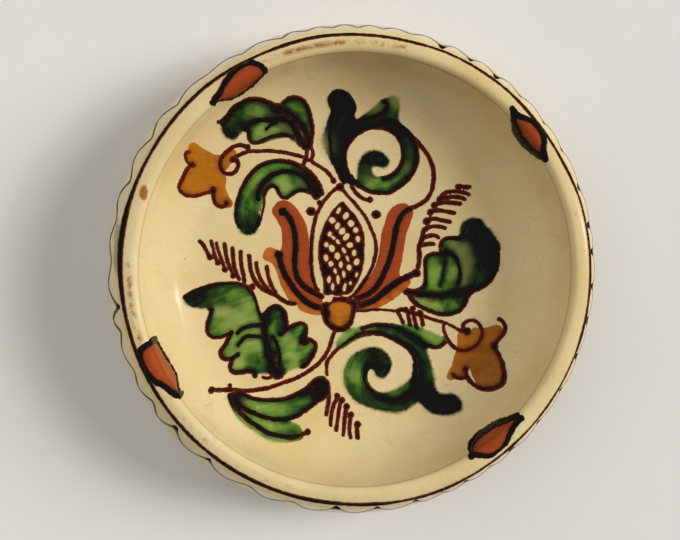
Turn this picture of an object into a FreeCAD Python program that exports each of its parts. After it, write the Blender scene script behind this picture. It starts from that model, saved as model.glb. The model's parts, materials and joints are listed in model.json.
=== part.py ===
import FreeCAD, Part
import math
import os

V = FreeCAD.Vector

# ---- driving dimensions, mm -------------------------------------------------
RIM_D = 220.0          # widest diameter, over the glaze on the collar
HEIGHT = 44.0          # foot to the crest of the lip
COAT = 0.6             # cream glaze on the clay
TRAIL = 0.45           # how far a trailed slip line stands up from the glaze
WASH = 0.15            # thickness of a brushed colour
FLOOR_D = 140.0        # where the dished floor turns up into the wall
FLOOR_Z = 13.0         # glazed floor at the centre
FLOOR_SAG = 2.5        # how far the floor rises from the centre to FLOOR_D
WALL_BEND = 25.8       # radius of the turn from floor to wall
WALL_LEAN = 75.0       # steepness of the inner face under the lip, degrees
LIP_BEND = 3.5         # round inner shoulder of the lip
LIP_TOP = 10.5         # gentler round of the lip's top
COLLAR_EDGE = 2.5      # round between the lip's top and the collar
COLLAR_SLOPE = 69.0    # steepness of the collar's outer face, degrees
COLLAR_TURN = 3.0      # round lower edge of the collar
COLLAR_UNDER = 4.0     # flat under the collar
NOOK_BEND = 3.0        # hollow between the collar and the bowl
BODY_BEND = 33.5       # outer turn of the bowl
FOOT_D = 122.0         # outer diameter of the foot ring
FOOT_W = 9.0           # width of the foot ring
FOOT_FILLET = 2.0      # outside the ring, up into the bowl
FOOT_EDGE = 1.0        # round edges of the ring
RECESS_Z = 5.5         # underside of the floor inside the foot ring
RECESS_FILLET = 1.5
RIM_LINE_D = 206.0     # middle of the dark line round the lip
RIM_LINE_W = 2.1
SWAGS = 40             # loops of the garland round the collar
SWAG_W = 1.5           # width of the garland's line
SWAG_DEEP = 8.0        # depth of one loop
DRAWN_D = 220.0        # rim diameter that the ornament's points are laid out for
SPECK = 0.5            # scraps of paint smaller than this, mm2, are left out

SCALE = RIM_D / DRAWN_D


# ---- turned section -----------------------------------------------------------
class Section:
    """Half section in r and z, drawn as tangent bends and straights; the glaze side is on its left."""

    def __init__(self, r, z, heading):
        self.r, self.z, self.heading = r, z, heading
        self.parts = []

    def bend(self, radius, heading):
        left = heading > self.heading
        side = 1.0 if left else -1.0
        a, b = math.radians(self.heading), math.radians(heading)
        cr, cz = self.r - side * radius * math.sin(a), self.z + side * radius * math.cos(a)
        self.parts.append(("bend", cr, cz, radius, side, self.heading, heading))
        self.r, self.z = cr + side * radius * math.sin(b), cz - side * radius * math.cos(b)
        self.heading = heading

    def straight(self, r=None, z=None):
        a = math.radians(self.heading)
        run = (r - self.r) / math.cos(a) if r is not None else (z - self.z) / math.sin(a)
        if run < 0.02:
            return
        self.parts.append(("straight", self.r, self.z, self.heading, run))
        self.r, self.z = self.r + run * math.cos(a), self.z + run * math.sin(a)

    def edges(self, out, first=0, last=None):
        """The section moved out by a thickness, as edges in order."""
        made = []
        for part in self.parts[first:last]:
            if part[0] == "bend":
                _, cr, cz, radius, side, a, b = part
                radius -= side * out

                def at(h):
                    h = math.radians(h)
                    return V(cr + side * radius * math.sin(h), 0, cz - side * radius * math.cos(h))

                made.append(Part.Arc(at(a), at((a + b) / 2), at(b)).toShape())
            else:
                _, r, z, heading, run = part
                h = math.radians(heading)
                p = V(r - out * math.sin(h), 0, z + out * math.cos(h))
                made.append(Part.makeLine(p, p + V(run * math.cos(h), 0, run * math.sin(h))))
        return made

    def layer(self, low, high, first, last, turn=360.0, start=0.0):
        """A coat of the section between two thicknesses, turned about the axis."""
        inner, outer = self.edges(low, first, last), self.edges(high, first, last)
        ring = inner + outer
        ends = [(inner[0].firstVertex(True).Point, outer[0].firstVertex(True).Point),
                (inner[-1].lastVertex(True).Point, outer[-1].lastVertex(True).Point)]
        ring += [Part.makeLine(a, b) for a, b in ends]
        face = Part.Face(Part.Wire(Part.__sortEdges__(ring)))
        if start:
            face.rotate(V(0, 0, 0), V(0, 0, 1), start)
        return face.revolve(V(0, 0, 0), V(0, 0, 1), turn)


def clay_section():
    floor_r = FLOOR_D / 2
    sphere = (floor_r ** 2 + FLOOR_SAG ** 2) / (2 * FLOOR_SAG)
    s = Section(0, FLOOR_Z - COAT, 0)
    s.bend(sphere + COAT, math.degrees(math.asin(floor_r / sphere)))       # 0 floor
    s.bend(WALL_BEND + COAT, WALL_LEAN)                                   # 1 wall
    lip, top = LIP_BEND - COAT, LIP_TOP - COAT
    s.straight(z=HEIGHT - COAT - lip * (1 - math.cos(math.radians(WALL_LEAN))))
    s.bend(lip, 0)                                                        # 3 inner shoulder
    s.bend(top, -37)                                                      # 4 lip's top
    s.bend(COLLAR_EDGE - COAT, -COLLAR_SLOPE)                                     # 5 collar's upper edge
    turn = COLLAR_TURN - COAT
    s.straight(r=RIM_D / 2 - COAT - turn * (1 - math.sin(math.radians(COLLAR_SLOPE))))
    s.bend(turn, -165)                                                    # 7 collar's lower edge
    s.straight(r=s.r - COLLAR_UNDER)
    s.bend(NOOK_BEND, -122)                                                     # 9 nook under the collar
    s.bend(BODY_BEND, -174)                                               # 10 bowl
    s.straight(r=FOOT_D / 2 + FOOT_EDGE / 2 + FOOT_FILLET)
    s.bend(FOOT_FILLET, -98)                                              # 12 into the foot ring
    s.straight(z=FOOT_EDGE * (1 - math.cos(math.radians(82))))
    s.bend(FOOT_EDGE, -180)
    s.straight(r=FOOT_D / 2 - FOOT_W + FOOT_EDGE)
    s.bend(FOOT_EDGE, -262)
    s.straight(z=RECESS_Z - RECESS_FILLET * (1 - math.cos(math.radians(82))))
    s.bend(RECESS_FILLET, -180)                                                     # 18 recess
    s.straight(r=0)
    return s


# ---- drawing on the plan --------------------------------------------------------
def spline(points, closed=False):
    c = Part.BSplineCurve()
    c.interpolate(Points=[V(x * SCALE, y * SCALE, 0) for x, y in points], PeriodicFlag=closed)
    return c


def flat(edges):
    return Part.Face(Part.Plane(), Part.Wire(edges))


def blob(points):
    """A closed soft outline, filled."""
    turned = sum(x0 * y1 - x1 * y0 for (x0, y0), (x1, y1) in zip(points, points[1:] + points[:1]))
    return flat([spline(points if turned > 0 else points[::-1], True).toShape()])


def dot(x, y, r):
    return flat([Part.makeCircle(r * SCALE, V(x * SCALE, y * SCALE, 0))])


def trail(points, width):
    """One pull of the slip trailer: a soft line with round ends. width is one value or (start, end)."""
    w0, w1 = width if isinstance(width, tuple) else (width, width)
    c = spline(points)
    a, b = c.FirstParameter, c.LastParameter
    n = max(2, int(round((b - a) / 2.2)))
    left, right = [], []
    for i in range(n + 1):
        u = a + (b - a) * i / n
        p, t = c.value(u), c.tangent(u)[0]
        h = SCALE * (w0 + (w1 - w0) * i / n) / 2
        side = V(-t.y * h, t.x * h, 0)
        left.append(p + side)
        right.append(p - side)
    left.reverse()

    def through(pts):
        k = Part.BSplineCurve()
        k.interpolate(pts)
        return k.toShape()

    t0, t1 = c.tangent(a)[0], c.tangent(b)[0]
    cap1 = Part.Arc(right[-1], c.value(b) + t1 * (SCALE * w1 / 2), left[0]).toShape()
    cap0 = Part.Arc(left[-1], c.value(a) - t0 * (SCALE * w0 / 2), right[0]).toShape()
    return flat([through(right), cap1, through(left), cap0])


def patches(faces):
    """Faces sorted into groups that share edges."""
    groups = []
    for f in faces:
        edges = {(round(e.CenterOfMass.x, 3), round(e.CenterOfMass.y, 3), round(e.Length, 3)) for e in f.Edges}
        members = [f]
        for g in [g for g in groups if g[0] & edges]:
            groups.remove(g)
            edges |= g[0]
            members += g[1]
        groups.append((edges, members))
    return [g[1] for g in groups]


def joined(faces):
    """Overlapping faces made one."""
    if len(faces) == 1:
        return faces[0]
    made = []
    for group in patches(faces[0].fuse(faces[1:]).Faces):
        shell = Part.makeShell(group)
        one = shell.removeSplitter()
        made += one.Faces if abs(one.Area - shell.Area) < 0.01 else group
    return Part.makeCompound(made)


def pruned(shape):
    """The faces left of a drawn shape, without scraps too small or too thin to be paint."""
    keep = []
    for f in shape.Faces:
        if f.Area > SPECK and 2 * f.Area / f.Length > 0.22:
            keep.append(f)
    return keep


def near(a, b):
    return a.BoundBox.intersect(b.BoundBox)


# ---- ornament, points in mm from the plate's centre, x right and y up -----------
T = 1.9                # usual width of a trailed line

LINES = {
    "pod_outline": [
        ([(-1.6, -13.6), (1, -11.4), (3.2, -8.8), (5.6, -5.4), (8, -1.6), (9.6, 2), (10.6, 6), (11.1, 10),
          (10.7, 13.4), (9.4, 17.2), (7.7, 21), (6, 24.2), (3.5, 27.6), (0.4, 31.2), (-3, 35), (-5.6, 38)], 1.7),
        ([(-16.2, -9.6), (-17.4, -7.4), (-18.4, -4.2), (-19, 0), (-19.2, 5), (-19.1, 10), (-18.8, 15),
          (-18.4, 18.6), (-17.7, 22), (-16.8, 25), (-15.5, 28), (-13.8, 31), (-11.6, 33.8), (-9, 36.4),
          (-6.2, 38.3)], 1.8),
        ("dot", -5.9, 38.2, 1.9), ("dot", -15.6, 30.8, 1.2)],
    "pod_lattice": [],
    "boss_ring": [
        ("blob", [(-14.6, -18), (-14.4, -22), (-12.7, -26), (-9.6, -28.5), (-5.5, -29.4), (-2, -28),
                  (0.3, -25), (1.3, -21.5), (2.3, -18.5), (2.1, -15), (-1.4, -13.2), (-6, -12.4), (-9, -13),
                  (-10, -15.1), (-12, -15.2), (-13.9, -15.8)])],
    "tulip_petal_left_line": [
        ([(-32.4, 26.4), (-30.4, 25), (-28.7, 22.4), (-27.4, 19), (-26.7, 15), (-26.5, 11), (-26.8, 6),
          (-26.8, 1), (-26, -3), (-24.3, -6.2), (-21.8, -8.6), (-18.5, -10.5), (-14.5, -12.6)], 2.8),
        ("dot", -32.4, 26.5, 2.0), ("dot", -34.3, 6.6, 2.1),
        ([(-34.2, 6.4), (-33.1, 2), (-31.2, -3), (-28.7, -7), (-26.2, -10.5), (-23, -14), (-19, -16.7),
          (-14.2, -18)], 2.9)],
    "tulip_petal_right_line": [
        ([(27.2, 28.2), (24.6, 26.9), (22.5, 24.3), (21, 21), (20, 17), (19.3, 13), (18.6, 9), (17.2, 4),
          (15.2, -1), (12.8, -5.8), (9.8, -9.8), (6, -12.4), (1.8, -13.8)], 2.7),
        ([(1.6, -17.2), (5, -16.4), (9, -14.9), (13, -12.2), (17, -9), (21, -6.1), (25, -3.9), (29.6, -2)], 3.2),
        ("dot", 29.9, -1.9, 2.1)],
    "bud_dots": [
        ("blob", [(-21.5, 26.8), (-20.8, 28.3), (-19.3, 28.8), (-17.7, 28.2), (-17, 26.7), (-17.6, 25.3),
                  (-19.3, 24.7), (-21, 25.4)]),
        ("blob", [(8.8, 25.6), (9.4, 27), (11, 27.6), (12.7, 26.9), (13.2, 25.4), (12.6, 24), (10.9, 23.4),
                  (9.3, 24.1)]),
        ([(-0.4, 38.4), (1.2, 36), (3.4, 33.8), (6, 32.5), (7.8, 32.4)], 1.8), ("dot", 8, 32.4, 1.5)],
    "bell_flower_left_line": [
        ([(-73.2, 47.2), (-75, 45.7), (-76.6, 42.8), (-78, 40), (-79, 37.4), (-78.3, 35.1), (-76.2, 33.7),
          (-73.4, 33.4), (-70.4, 34), (-67.4, 34.9), (-64.9, 36)], (1.7, 2.0)),
        ("dot", -73.1, 47.2, 1.4), ("dot", -64.2, 36.4, 1.7),
        ([(-64.1, 35.6), (-64, 32.4), (-62.8, 29.9), (-60.7, 28.9), (-58.7, 29.4)], 2.1),
        ("dot", -58.2, 30.4, 1.5),
        ([(-48.6, 56), (-50.4, 56.6), (-53, 56.6), (-55.6, 55.5), (-58, 53.6), (-60.1, 51.2), (-61, 48.5),
          (-60.5, 45.9), (-58.9, 44.1), (-56.7, 43.7), (-54.5, 44.6), (-53.1, 46.5), (-52.9, 48.8),
          (-54, 50.4)], 2.1),
        ("dot", -48.5, 56, 1.4), ("dot", -55.4, 50.2, 1.5),
        ([(-74.4, 52.4), (-75.7, 51), (-75.7, 49), (-74.9, 47.6)], 1.5)],
    "bell_flower_right_line": [
        ([(53.6, -29.4), (52, -28), (52.1, -26), (53.8, -24.5), (56.3, -24.1), (58.7, -25.1), (60.4, -27.7),
          (60.9, -30.8), (59.4, -34), (56.6, -36.6), (53, -38), (49.7, -37.8), (46.8, -35.9), (44.8, -33.2),
          (43.5, -30.4), (42.8, -27.8), (43, -25.4)], (2.0, 1.7)),
        ("dot", 53.8, -29.3, 2.0),
        ([(43, -25), (46, -26.3), (49, -28), (52, -29.6)], 1.5),
        ([(68.8, -23.6), (70.6, -24.8), (71.4, -27), (71, -29.4), (69.4, -31.7), (67.6, -34), (66.2, -36)], 2.1),
        ("dot", 66.3, -36.2, 1.8),
        ([(66.4, -37), (68.4, -40.8), (69.5, -44.5), (69.8, -48), (69.2, -51.4), (67.4, -53.9), (64.4, -55.3),
          (61.4, -55.8), (58, -54.9), (55.4, -53), (53.6, -50.5), (53.1, -47.2)], 2.3),
        ("dot", 53, -46.9, 1.6),
        ([(47.2, -49.4), (48.7, -50.8), (51, -51.1), (53.4, -50.4)], 2.1)],
    "leaf_nw_line": [
        ([(-61.6, 65.8), (-59, 67.3), (-55.9, 71), (-52, 74), (-47.5, 76.1), (-42.5, 76.5), (-38.5, 75.5),
          (-35, 73.9)], (1.4, 2.2)),
        ("dot", -34.7, 73.3, 2.4),
        ([(-34.4, 73.8), (-30.4, 72), (-27.4, 70), (-25, 67.4), (-23, 65), (-21.3, 62), (-20.6, 59),
          (-20.6, 56.4)], 2.8),
        ([(-33.4, 74.3), (-31.6, 76.5), (-28.7, 78.1), (-25.5, 78.2), (-22.7, 76.6), (-20.9, 73.8),
          (-19.8, 70.3), (-19, 66.8), (-18.7, 63.4), (-19.2, 60), (-19.6, 57)], 2.1),
        ([(-49.6, 64.6), (-46.5, 67), (-42, 68.2), (-37, 68.5), (-32.5, 69), (-29.3, 68), (-27, 65.2),
          (-25.5, 62), (-24, 59), (-22.2, 56.4)], (2.2, 3.4)),
        ([(-39.9, 64.2), (-38, 66.2), (-35.4, 67.4)], 1.6),
        ([(-49.4, 64.4), (-48, 62), (-47.7, 59.8), (-46.2, 58.1), (-43.6, 58.2), (-40, 59.8), (-36, 61.2),
          (-31.6, 61.7), (-28, 60.8)], 2.1),
        ([(-21.6, 55.6), (-21.5, 52.5), (-22.2, 49.9), (-23, 48)], 1.9),
        ([(-19.3, 56), (-18.6, 52.4), (-19.8, 50.5), (-21.6, 50.6)], 1.8)],
    "leaf_w_line": [
        ([(-53, 20.2), (-53.9, 24), (-53.8, 28), (-53.2, 31.6), (-51.9, 35.6), (-49.8, 40), (-46.5, 44.4),
          (-43, 47.4), (-39, 49.3), (-35, 50), (-31, 49.7), (-27, 48.7), (-24, 47.5), (-21.4, 45.9),
          (-18.9, 43.4), (-16.8, 40.6), (-15.2, 37.6), (-14.5, 35)], (1.5, 2.8)),
        ([(-43.7, 32.3), (-43.7, 35), (-42.5, 38), (-40.3, 41), (-37.3, 43.3), (-33.5, 44.9), (-29.5, 45.2),
          (-26, 44.5), (-22.9, 42.8), (-20.7, 40.3), (-19.2, 37.3)], 2.4),
        ([(-41, 34.1), (-39.3, 37.1), (-37, 38.4), (-35.3, 37.2), (-33.9, 34.8), (-32.2, 33.1), (-30.3, 33.1),
          (-28, 34.8), (-25.4, 36.3), (-22.4, 36.4), (-20, 35.5)], 1.9),
        ([(-43.2, 20.8), (-42.4, 24), (-41.5, 27.5), (-41, 31), (-41, 33.6)], 1.2),
        ("blob", [(-20.2, 36), (-19, 33.8), (-17, 31.9), (-15, 33), (-13.9, 34.6), (-14.8, 38), (-16.5, 40.4),
                  (-18.6, 39.2)])],
    "leaf_e_line": [
        ([(41.6, 8.4), (41.4, 11), (42.6, 13.6), (45.5, 14.5), (50.4, 14.2)], 2.1),
        ([(26, -9.9), (29, -10.2), (31.6, -9.4), (33.6, -7.6), (34.3, -4.6), (34.3, -1), (34, 2.4), (34.7, 5.4),
          (37, 6.9), (40, 7.3), (43.4, 7.2)], 2.0),
        ([(42.4, 7), (45, 7.7), (47.6, 6.3), (49.4, 3.4), (50.4, 0), (50.4, -3.5), (49.4, -7)], 2.2),
        ([(25.2, -10.9), (30, -11.6), (35, -12.2), (40, -12.4), (45, -11.6), (50, -10.4), (55, -10.2),
          (60, -8.9), (64, -6), (66.6, -2.4), (68, 2), (68.2, 7), (67.2, 11.3)], (2.8, 2.0)),
        ([(26.6, -12.6), (28.6, -15), (31.2, -17.2), (34.6, -18.9), (38, -20.3), (42, -21.2), (46, -21.1),
          (49.4, -19.9), (51.9, -17.8), (53.4, -15), (53.9, -12)], 2.1),
        ([(43.6, 4.8), (42.9, 0.6), (42.3, -3.6), (41, -7.6)], 0.9)],
    "leaf_sw_line": [
        ([(-77, -12.2), (-74.4, -10.6), (-71, -9.1), (-67, -7.8), (-63, -6.9), (-58.5, -6.4), (-55, -6.4),
          (-52, -6.8), (-49, -8.3), (-46.8, -10.6), (-45.3, -13.4), (-44.4, -16.6), (-43.6, -19.4),
          (-42.6, -21.6)], (2.0, 1.5)),
        ([(-42.5, -21.8), (-41.3, -20.7), (-39.5, -18.7), (-37.6, -17.3), (-35.5, -17), (-33, -18.2),
          (-31.4, -20.7), (-30.9, -24), (-31.4, -27.4), (-33.4, -30)], (1.5, 2.4)),
        ([(-65, -18.4), (-65.4, -20.2), (-66.3, -22.6), (-67.2, -26), (-67, -28.4), (-65.8, -30.4),
          (-63.3, -31.1), (-60.5, -30.8), (-58, -29.8), (-56.4, -29.4)], 1.9),
        ("dot", -56.3, -29.3, 1.4),
        ([(-56.6, -30.2), (-57.8, -32.4), (-59.2, -35), (-60.8, -37.3), (-61, -39.2), (-59.7, -40.8),
          (-57.5, -41.3), (-55.4, -40.6), (-53.2, -39)], 2.1),
        ([(-55.8, -41.8), (-56.5, -43.6), (-56.7, -45.4), (-55.6, -46.9), (-53, -47.5), (-50.5, -47.3),
          (-48, -46.9), (-46.2, -47.3), (-45.4, -49)], (2.0, 2.5)),
        ([(-53.4, -29.4), (-51.5, -27.6), (-48.5, -26.3), (-45, -25.8), (-42, -26), (-40.4, -27)], 2.1),
        ([(-53, -34.7), (-51.5, -32.7), (-49.5, -31.2), (-46.5, -30.8), (-43.5, -31), (-41.4, -31.8)], 2.0),
        ([(-40.8, -24.6), (-40.8, -29), (-40, -33), (-39, -37.5), (-37.8, -42), (-36.6, -46), (-35.2, -49)],
         (3.6, 4.2)),
        ([(-37.2, -31), (-35.4, -34), (-34.3, -38), (-33.9, -42), (-33.9, -46)], 1.9),
        ("dot", -34.6, -48, 2.9),
        ([(-41.5, -49.8), (-39.5, -50.2), (-37.3, -49.2)], 1.6),
        ([(-33, -29.6), (-30.5, -27.7), (-28, -26.2), (-25.5, -25.2), (-23.2, -25.1), (-21.8, -26.5),
          (-21.7, -28.7), (-22.5, -31.4), (-24, -34)], 2.1),
        ("dot", -22.6, -33, 2.5),
        ([(-22, -32.6), (-20, -32.6), (-18.2, -33.7), (-17.3, -35.6), (-17.8, -38.2), (-19.3, -41),
          (-21, -43.4), (-23.2, -45.2)], 2.2)],
    "leaf_s_line": [
        ([(-53.6, -56.2), (-50.5, -57.3), (-48, -58.7), (-45, -59.7), (-41, -60.2), (-36, -60.3), (-32, -60),
          (-28, -58.7), (-24.5, -57.1), (-21, -55), (-18.7, -52.8), (-16, -51)], (1.8, 2.8)),
        ([(-55.2, -57), (-53.8, -60.4), (-51, -63.2), (-47, -65.4), (-43.5, -67), (-40, -68.2), (-36, -69),
          (-32, -69), (-28.5, -68.6), (-25, -67.2), (-21.5, -64.9), (-18, -62.4), (-15.5, -60.2)], 2.2),
        ("blob", [(-17.4, -50.6), (-13.7, -49.6), (-11.5, -51.4), (-10.5, -54.5), (-10.4, -57.4),
                  (-12.6, -60), (-15.6, -61.8), (-17.8, -60.6), (-18.6, -57.5), (-19.4, -54)]),
        ([(-56, -57.4), (-54.9, -61), (-52.5, -64.6), (-50.3, -67), (-47.5, -69.3), (-44, -71.7), (-41, -73.7),
          (-37, -75.4), (-33, -76.4), (-29, -77), (-25.5, -76.7), (-22.6, -75.6), (-21, -74.9)], 2.2),
        ("dot", -21.1, -75, 1.5)],
    "scroll_n_line": [
        ([(-0.9, 41.2), (1.2, 39.7), (4.5, 37.8), (8, 36.2), (12, 35.5), (16.5, 35.6), (20.3, 37.2),
          (24, 40), (27.4, 43.8), (29.5, 48), (30.2, 52.5), (29.4, 56.8), (27.6, 60.4), (24.5, 63.8),
          (21, 66.5), (17, 68), (12, 68.5)], 2.0),
        ([(14.5, 42.2), (18.2, 43.7), (21.3, 46.6), (23.2, 50.5), (23.6, 54.5), (22.4, 58.9), (19.9, 62.5),
          (16.3, 64.8), (12, 65.7), (7, 65.3), (3, 63.3), (-0.5, 60.2), (-3.2, 56), (-3.9, 51), (-3.1, 46.5),
          (-1.2, 42.8)], 2.2),
        ([(-4.6, 41), (-7, 45.6), (-8.9, 50.4), (-10, 55), (-10.5, 60), (-10.4, 65), (-9.4, 70), (-8.8, 74),
          (-10.2, 77.4), (-9, 80.2), (-6, 80.8), (-3, 79.4), (-0.8, 76.6), (0, 73), (-1, 69.4)], 1.9),
        ([(-4.4, 60), (-2.2, 63.8), (1.6, 66.7), (6, 69), (10.5, 70.7), (14, 72.6), (15.7, 74.8), (15.6, 76.5),
          (14.2, 77.3)], 2.2)],
    "scroll_s_line": [
        ([(4.6, -27.8), (8, -26.5), (12, -25.9), (16, -26.2), (20, -27.2), (23.5, -28.6), (27, -30.6),
          (31, -33), (34.5, -35.4), (38, -36.6), (41.4, -36), (43.8, -34)], 2.1),
        ([(8.6, -45.2), (7, -45.6), (5.8, -47.6), (5.4, -50.2), (6.1, -53.2), (8, -56), (11, -58.6),
          (14.5, -60.5), (18.5, -61.3), (22.5, -60.6), (25.5, -58.8), (28.2, -56.2), (29.6, -52.6),
          (29.8, -48.5), (29.6, -44.6), (28.9, -41.2), (27, -38.2), (24, -35.5), (20.5, -33.3), (17, -31.6),
          (13, -30.3), (9, -29.7), (5, -29.9), (2, -30.9)], (1.8, 2.3)),
        ([(1.6, -31.2), (-2.5, -33.8), (-5.5, -36), (-8, -38.1), (-10.4, -40.7), (-11.9, -43.3),
          (-12.2, -46), (-11.9, -49)], 1.7)],
    "fern_w": [
        ([(-70.3, 13), (-68.2, 10.2), (-66.9, 7.8), (-65.9, 5.8)], 1.6), ("dot", -65.8, 5.6, 1.3),
        ([(-65.2, 12.9), (-64.5, 10), (-63.5, 6.5), (-62.4, 3.4)], 1.4), ("dot", -62.2, 3, 1.2),
        ([(-62.6, 12), (-61.8, 8), (-60.7, 5), (-59.6, 2), (-59, 0)], 1.4), ("dot", -59, -0.2, 1.3),
        ([(-59.2, 11.6), (-58.7, 8), (-58, 4.5), (-56.8, 1), (-55.3, -2)], 1.6), ("dot", -55.1, -2.8, 1.3),
        ([(-55.5, 9.8), (-55.3, 6), (-54.8, 2), (-53.8, -1.4), (-52.6, -4.4)], 1.7),
        ([(-51.8, 8), (-51.6, 4), (-51.1, 0), (-50.4, -3.5), (-50.2, -6)], 1.7),
        ([(-47.9, 6.2), (-47.5, 2), (-46.8, -1.5), (-45.6, -4.5), (-44, -7), (-42, -8.8)], 1.8),
        ([(-44.6, 2.9), (-44.3, 0), (-43.3, -3), (-42, -5.7), (-40, -8.4), (-38.4, -10.2)], 1.6),
        ([(-39.9, 1.1), (-39.3, -2), (-38.6, -5), (-37.4, -8), (-35.8, -10.6)], 1.7),
        ([(-42.8, -8.2), (-39, -10.6), (-36, -11.9), (-33.5, -13.6), (-30.5, -15.3), (-27, -16)], 1.9),
        ([(-50.6, -7), (-48.4, -8), (-46.8, -8)], 1.6), ("dot", -46.5, -8, 1.4)],
    "fern_e": [
        ("blob", [(48, 38.5), (49.4, 39.6), (52, 39.3), (54.5, 39.3), (55.6, 38.4), (54.8, 37.4), (52, 37.5),
                  (49.6, 37)]),
        ([(41.6, 34.2), (44.2, 35.9), (47.6, 36.3), (51.2, 36), (54.2, 34.9)], 1.8),
        ([(41.4, 32.9), (44.6, 33.6), (48.4, 33.7), (52.6, 32.6)], 1.8),
        ([(39.2, 30.2), (42.4, 31), (46.4, 31), (50.4, 30.6)], 1.8),
        ("blob", [(39.7, 33.6), (41.2, 34.4), (42.4, 33.6), (42, 31.6), (40.4, 31.2), (39.4, 32.2)]),
        ("dot", 38.2, 29.8, 1.5),
        ([(36.8, 27.1), (40, 27.4), (44, 27), (47.8, 26.2)], 1.9), ("dot", 36.4, 26.5, 1.5),
        ([(36, 23.4), (38.8, 23.5), (42, 22.8), (45.6, 22.1)], 1.8), ("dot", 34.8, 22.3, 1.8),
        ([(33.8, 18), (36, 19.6), (39.6, 19.9), (43.4, 19.1)], 1.8),
        ([(33, 14.6), (35.4, 15.5), (38, 15.8), (40.2, 14.8)], 1.8),
        ([(32.6, 11), (35, 11.6), (38, 11.7)], 1.9),
        ([(34.6, 19), (33.2, 17), (32.9, 14.6), (31.8, 12.4), (31.2, 9.6), (31.4, 6.4), (31.2, 3),
          (30.7, 0.6)], (2.2, 1.9))],
    "fern_s": [
        ([(-11.1, -58), (-11.3, -61), (-11.9, -64.4), (-12.4, -67.3)], 1.8),
        ([(-7.4, -58.8), (-8.1, -61.2), (-9.3, -64), (-10, -67), (-10.5, -72.2)], 1.6), ("dot", -7.3, -58.8, 1.3),
        ([(-5.3, -61), (-6.2, -64), (-6.9, -68), (-7.3, -71), (-8, -74.6)], 1.6), ("dot", -5.2, -60.9, 1.5),
        ([(-3, -64), (-3.6, -67), (-4, -71), (-4.7, -76.6)], 1.6), ("dot", -3, -63.8, 1.5),
        ([(-1, -68), (-1.3, -71), (-1.6, -75), (-1.2, -77.8)], 1.6), ("dot", -1, -67.8, 1.4),
        ([(2.1, -72.4), (1.8, -75), (1.9, -77.8)], 2.1), ("dot", 2.1, -72.1, 1.6)],
    "fern_se": [
        ([(21, -19.8), (24.4, -19.2), (27.4, -20.4), (30.2, -21), (32.2, -21.2)], 1.9),
        ("dot", 24.9, -19.1, 1.4), ("dot", 28.3, -18.4, 1.3), ("dot", 31.6, -20.8, 1.6),
        ([(21.6, -20.6), (23, -23.4), (23.8, -25)], 1.6),
        ([(25.8, -20), (26.4, -23), (27, -26.2)], 1.7),
        ([(28.3, -18.6), (28.8, -22), (29.5, -25), (30.2, -27.6)], 1.7),
        ([(32.1, -21.6), (32.7, -24), (32.9, -26.2)], 1.9)],
    "stem_w": [
        ([(-54, 51.6), (-51.5, 52.8), (-48.4, 53.9), (-44, 54.2), (-39, 54.4), (-34, 54.1), (-29.5, 53.4),
          (-25.5, 52.4), (-22.6, 51.8)], 1.6),
        ([(-18.8, 49.7), (-16, 47.8), (-12.6, 45.7), (-10.6, 43.7), (-9.2, 41.4)], 1.6), ("dot", -9, 41, 1.4)],
    "stem_n": [
        ([(27.6, 28.6), (29.6, 29.3), (33, 31.2), (35.8, 34), (37.3, 38), (37.9, 42), (37.7, 46), (36.8, 49.4),
          (35, 53), (32.2, 56.8), (29.4, 60)], 1.9)],
    "stem_s": [
        ([(-8.3, -29), (-9.3, -31.6), (-10.4, -35), (-11.4, -37.6), (-13.1, -40.5), (-15.5, -43.3),
          (-19, -46.2), (-23, -48.7), (-27.5, -50.9), (-32, -52.3), (-36, -53.8), (-41, -55), (-46, -55.7),
          (-51, -55.7), (-55, -55.2), (-60, -54.9), (-64.6, -54.5)], (1.6, 1.9)),
        ("dot", -65, -54.6, 1.5), ([(-56.9, -53), (-56.8, -54.6)], 1.5)],
    "stem_e": [
        ([(2.2, -19.4), (6, -19.4), (10, -18.9), (14, -19), (18, -19.4), (21.2, -19.7)], 1.1),
        ([(32.4, -21.8), (36, -22.9), (40, -24.3), (43, -25)], 1.4)],
}

POD = [(-4.4, 31.6), (-2.2, 29.4), (0.6, 26.4), (2.9, 23.2), (4.6, 19.6), (5.8, 15.6), (6.1, 11.6), (5.9, 7.6),
       (5.8, 4), (5.1, 0), (3.9, -3.8), (1.4, -8), (-1.4, -11.8), (-4.6, -12.4), (-8, -12.8), (-10, -12.2),
       (-12.2, -12.6), (-13.8, -11), (-13.9, -8), (-14.4, -4), (-15.4, 0), (-16.2, 4.6), (-16.4, 9),
       (-15.9, 13.2), (-14.8, 17.2), (-13.4, 21), (-11.6, 24.4), (-9.4, 27.6), (-7, 30.4)]

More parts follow.
